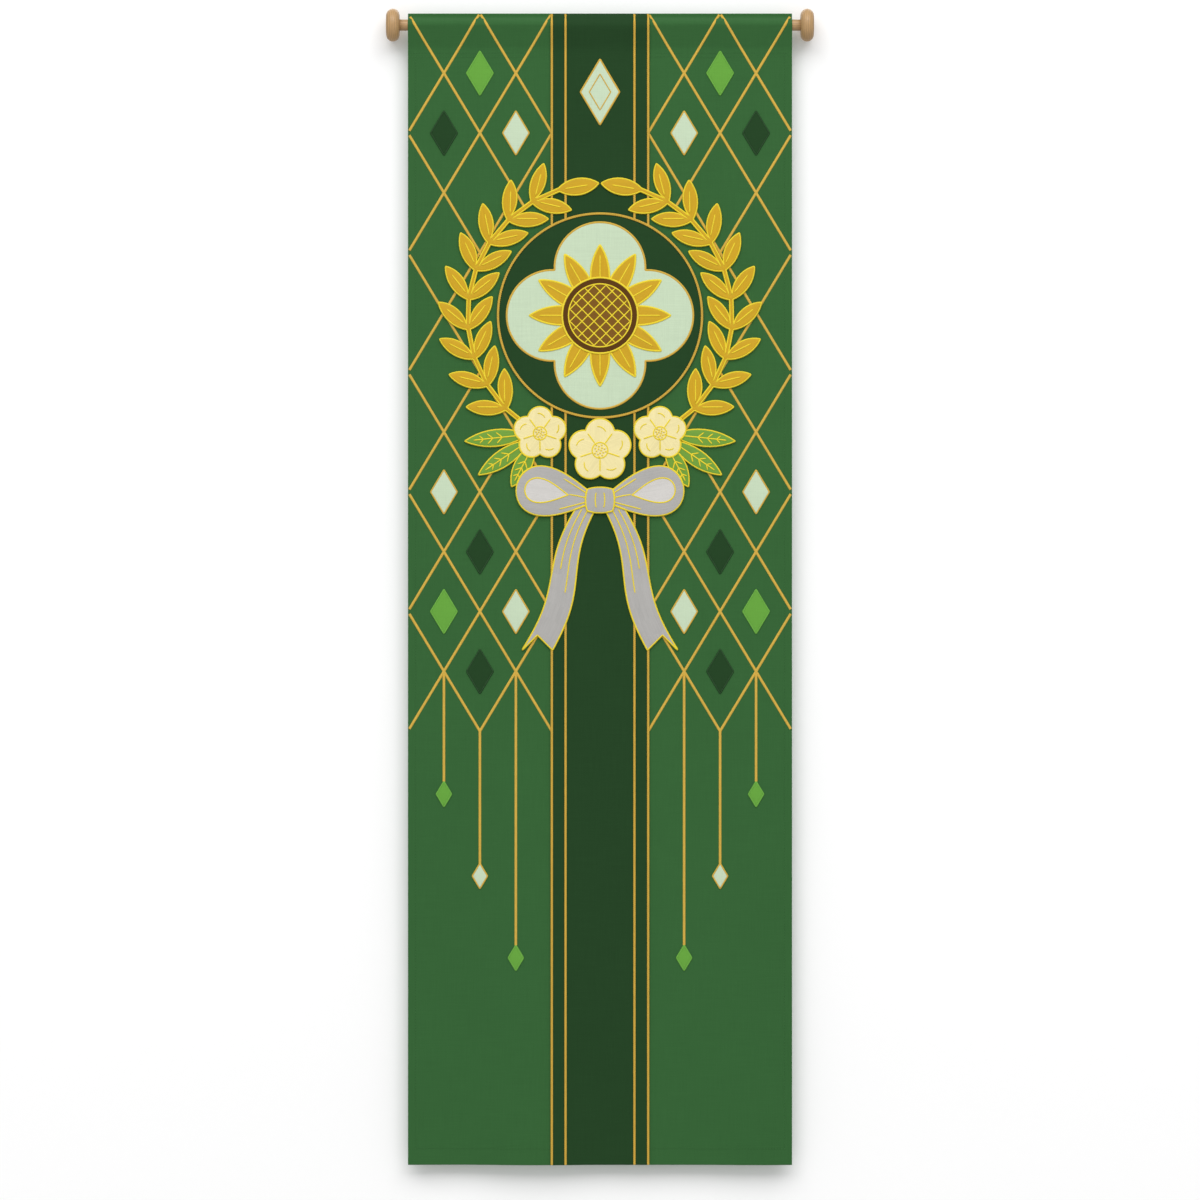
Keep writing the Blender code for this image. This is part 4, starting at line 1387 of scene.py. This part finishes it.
def hem_rows():
    """The hems' stitch rows and the pocket's two, as points on the front and on the back."""
    side, low, seam = WIDTH / 2 - SIDE_ROW, BOTTOM + LOW_ROW, SEAM - SEAM_ROW
    down = np.linspace(seam, low, 240)
    over = np.linspace(-side, side, 90)
    edge = np.linspace(-WIDTH / 2 + 0.002, WIDTH / 2 - 0.002, 90)
    rows = (seam, seam - ROW_STEP)
    front = [*(on_front(x, down, LIFT) for x in (-side, side)), on_front(over, low, LIFT)]
    front += [on_front(edge, z, LIFT) for z in rows]
    back = [*(on_back(x, down[down < BELOW_FLAP]) for x in (-side, side)), on_back(over, low)]
    flap = [on_front(edge, z, -2 * THICK - BEHIND_FLAP - LIFT) for z in rows]
    return front + back + flap


def knot_paths():
    """A very short line for each knot, so that one bead lies on it."""
    places = np.array(KNOTS)
    ends = [on_front(places[:, 0] + d, places[:, 1], places[:, 2]) for d in (-KNOT_LINE, KNOT_LINE)]
    return [np.stack(pair) for pair in zip(*ends)]


beads = stitch_tree()
KNOT_SIZE = (0.0027, 0.0027, 0.0020)
SHORT_STITCH, LONG_STITCH = (0.0034, 0.0009, 0.0007), (0.0042, 0.0009, 0.0007)
stitching += [
    grown("hem_stitches", hem_rows(), {}, beads, "ground", "ground", Step=0.0046, Size=SHORT_STITCH),
    grown("rose_knots", knot_paths(), {}, beads, "yellow", "gold", Step=0.01, Size=KNOT_SIZE),
    grown("back_stitches", seams_on_back(), {}, beads, "ground", "ground", Step=0.006, Size=LONG_STITCH),
]

# %% [markdown]
# ## Wood
# Rod and caps are light wood under a thin satin lacquer. Wood is rings round the tree's middle, stretched
# a long way along it. The rings' centre lies outside the rod, so they cross it as nearly straight lines;
# the caps were turned with their grain upright, so their rings are read along another axis.


# %% The wood of the rod and the caps
RING_GAP = 0.0034
# How far the tree's middle lies outside the rod
HEART_AWAY = (0.031, 0.044)
# Size across the grain and along it, of the bends in the rings and of the fibres
BEND_SIZE, FIBRE_SIZE = (0.03, 0.72), (0.0007, 0.022)
SOCKET_DEPTH = 0.012
CHAMFER, SOCKET_CHAMFER = 0.0006, 0.0004
GROOVE, GROOVE_DEPTH = (0.55, 0.60, 0.65), 0.0003


def wood(name, along):
    """Wood whose grain runs along an axis, 0 for X and 2 for Z."""
    material, graph, shader = new_material(name)
    place = graph.node("ShaderNodeTexCoord")["Object"]
    bend_sizes, fibre_sizes = (
        [size[1] if axis == along else size[0] for axis in range(3)] for size in (BEND_SIZE, FIBRE_SIZE)
    )
    bend = graph.noise(graph.stretched(place, bend_sizes), 1)
    axes = graph.node("ShaderNodeSeparateXYZ", {0: place})
    first, second = (axes[axis] for i, axis in enumerate("XYZ") if i != along)
    first, second = first + HEART_AWAY[0], second - HEART_AWAY[1]
    away = first * first + second * second
    rings = graph.sine((away.maths("SQRT", away) + bend * 0.004) * (math.tau / RING_GAP))
    fibres = graph.noise(graph.stretched(place, fibre_sizes), 1, 3)
    stain = graph.noise(place, 45)
    tone = rings * 0.20 + (fibres - 0.5) * 0.9 + (stain - 0.5) * 0.5 + 0.5
    shade = graph.mix(tone, colour("wood", 0.72), colour("wood", 1.26))
    lacquer = {"Coat Weight": 0.15, "Coat Roughness": 0.3}
    dress(graph, shader, shade, 0.5 - (fibres - 0.5) * 0.3, fibres, 0.0001, 0.5, lacquer)
    return material


def lathed(name, node, profile, count, material):
    """A solid turned round the X axis from (radius, along) points that start and end on the axis."""
    turn = [math.tau * i / count for i in range(count)]
    points, rings = [], []
    for radius, along in profile:
        if radius == 0:
            rings.append([len(points)] * count)
            points.append((along, 0, 0))
        else:
            rings.append(list(range(len(points), len(points) + count)))
            points += [(along, radius * math.cos(a), radius * math.sin(a)) for a in turn]
    faces = []
    for ring, following in zip(rings, rings[1:]):
        for i in range(count):
            faces.append(list(dict.fromkeys((ring[i - 1], ring[i], following[i], following[i - 1]))))
    mesh = bpy.data.meshes.new(name)
    mesh.from_pydata(points, [], faces)
    keep(name, mesh, material, "wood", node)


def rod():
    end = WIDTH / 2 + BARE_ROD + SOCKET_DEPTH - CLEAR
    profile = [(0, -end), (ROD_RADIUS - CHAMFER, -end), (ROD_RADIUS, -end + CHAMFER)]
    profile += [(ROD_RADIUS, x) for x in steps(-end + CHAMFER, end - CHAMFER, 24)[1:]]
    profile += [(ROD_RADIUS - CHAMFER, end), (0, end)]
    lathed("wooden_rod", "rod", profile, 48, wood("wood along the rod", 0))


def cap(name, node, side, material):
    """A disc with a full round edge, a shallow turned ring in its face and a socket for the rod."""
    inner, edge = WIDTH / 2 + BARE_ROD, CAP_THICK / 2
    outer, socket = inner + CAP_THICK, ROD_RADIUS + CLEAR
    face = CAP_RADIUS - edge
    groove = [(face * share, outer - depth) for share, depth in zip(GROOVE, (0, GROOVE_DEPTH, 0))]
    profile = [(0, outer), *groove, (face, outer)]
    for turn in steps(0, math.pi, 28)[1:]:
        profile.append((face + edge * math.sin(turn), inner + edge * (1 + math.cos(turn))))
    profile += [(socket + SOCKET_CHAMFER, inner), (socket, inner + SOCKET_CHAMFER)]
    profile += [(socket, inner + SOCKET_DEPTH), (0, inner + SOCKET_DEPTH)]
    lathed(name, node, [(radius, side * along) for radius, along in profile], 96, material)


rod()
cap_wood = wood("wood of the end caps", 2)
cap("left_end_cap", "cap_left", -1, cap_wood)
cap("right_end_cap", "cap_right", 1, cap_wood)
print("rod and two caps turned")

# %% [markdown]
# ## Cut sizes
# Cloth hardly stretches, so each sewn-on piece's cut size is worked out by cut_size, but it is not kept. The
# ground cloth was cut wider and longer than it hangs, by what its hems, its pocket and its fold take up.

# %% [markdown]
# ## Room, light and camera
# A white wall behind the banner catches its soft shadow and a pale floor lies below it. A wide soft light
# above and in front makes the shadow spread below the hem more than beside it. The wall lets light and
# cameras through from behind, and a weaker light stands there, so that the banner's back can be seen too.


# %% Wall and floor
def stage_plane(name, corners, material):
    mesh = bpy.data.meshes.new(name)
    mesh.from_pydata(corners, [], [(0, 1, 2, 3)])
    mesh.materials.append(material)
    plane = placed(name, mesh)
    return plane


def plaster(name, shade, one_sided=False):
    """Matt paint, seen from the front only if it is one-sided."""
    material, graph, shader = new_material(name)
    set_values(shader, {"Base Color": (shade, shade, shade, 1), "Roughness": 1, "Specular IOR Level": 0})
    if one_sided:
        behind = graph.node("ShaderNodeNewGeometry")["Backfacing"]
        clear = graph.node("ShaderNodeBsdfTransparent")["BSDF"]
        paint = Link(graph, shader.outputs["BSDF"])
        seen = graph.node("ShaderNodeMixShader", {0: behind, 1: paint, 2: clear})["Shader"]
        graph.join(seen, material.node_tree.nodes["Material Output"].inputs["Surface"])
    return material


WALL_Y = 0.0275
FLOOR_Z = BOTTOM - 0.35
wall_corners = [(-6, WALL_Y, FLOOR_Z), (6, WALL_Y, FLOOR_Z), (6, WALL_Y, 5), (-6, WALL_Y, 5)]
wall = stage_plane("wall", wall_corners, plaster("white wall", 0.95, one_sided=True))
wall.visible_shadow = False
wall.visible_diffuse = False
wall.visible_glossy = False
floor_corners = [(-9, 9, FLOOR_Z), (-9, -9, FLOOR_Z), (9, -9, FLOOR_Z), (9, 9, FLOOR_Z)]
stage_plane("floor", floor_corners, plaster("pale floor", 0.52))

# %% Light and camera
MM_PER_PIXEL = 1.5885
FRAME = 1200
ROD_PIXEL = 25.1
CLOTH_MIDDLE = Vector((0, 0, -0.9))
WORLD_LIGHT = 0.62


def soft_light(name, place, width, height, power):
    """A rectangle of light that faces the middle of the cloth."""
    data = bpy.data.lights.new(name, "AREA")
    data.shape = "RECTANGLE"
    data.size, data.size_y, data.energy = width, height, power
    light = placed(name, data)
    light.location = place
    light.rotation_euler = (CLOTH_MIDDLE - Vector(place)).to_track_quat("-Z", "Y").to_euler()


def camera():
    height = FRAME * MM_PER_PIXEL / 1000
    data = bpy.data.cameras.new("camera")
    data.sensor_width, data.lens = 36, 150
    data.clip_end = 60
    seen = placed("camera", data)
    seen.location = (0, -height * data.lens / data.sensor_width, (ROD_PIXEL / FRAME - 0.5) * height)
    seen.rotation_euler = (math.pi / 2, 0, 0)
    bpy.context.scene.camera = seen


world = bpy.data.worlds.new("white room")
world.use_nodes = True
set_values(world.node_tree.nodes["Background"], {"Color": (1, 1, 1, 1), "Strength": WORLD_LIGHT})
bpy.context.scene.world = world
soft_light("window", (0, -9, 8.3), width=18, height=9, power=1520)
soft_light("window behind", (0, 9, 6), width=12, height=6, power=430)
camera()
bpy.context.scene.view_settings.view_transform = "Standard"
print("lights and camera set")
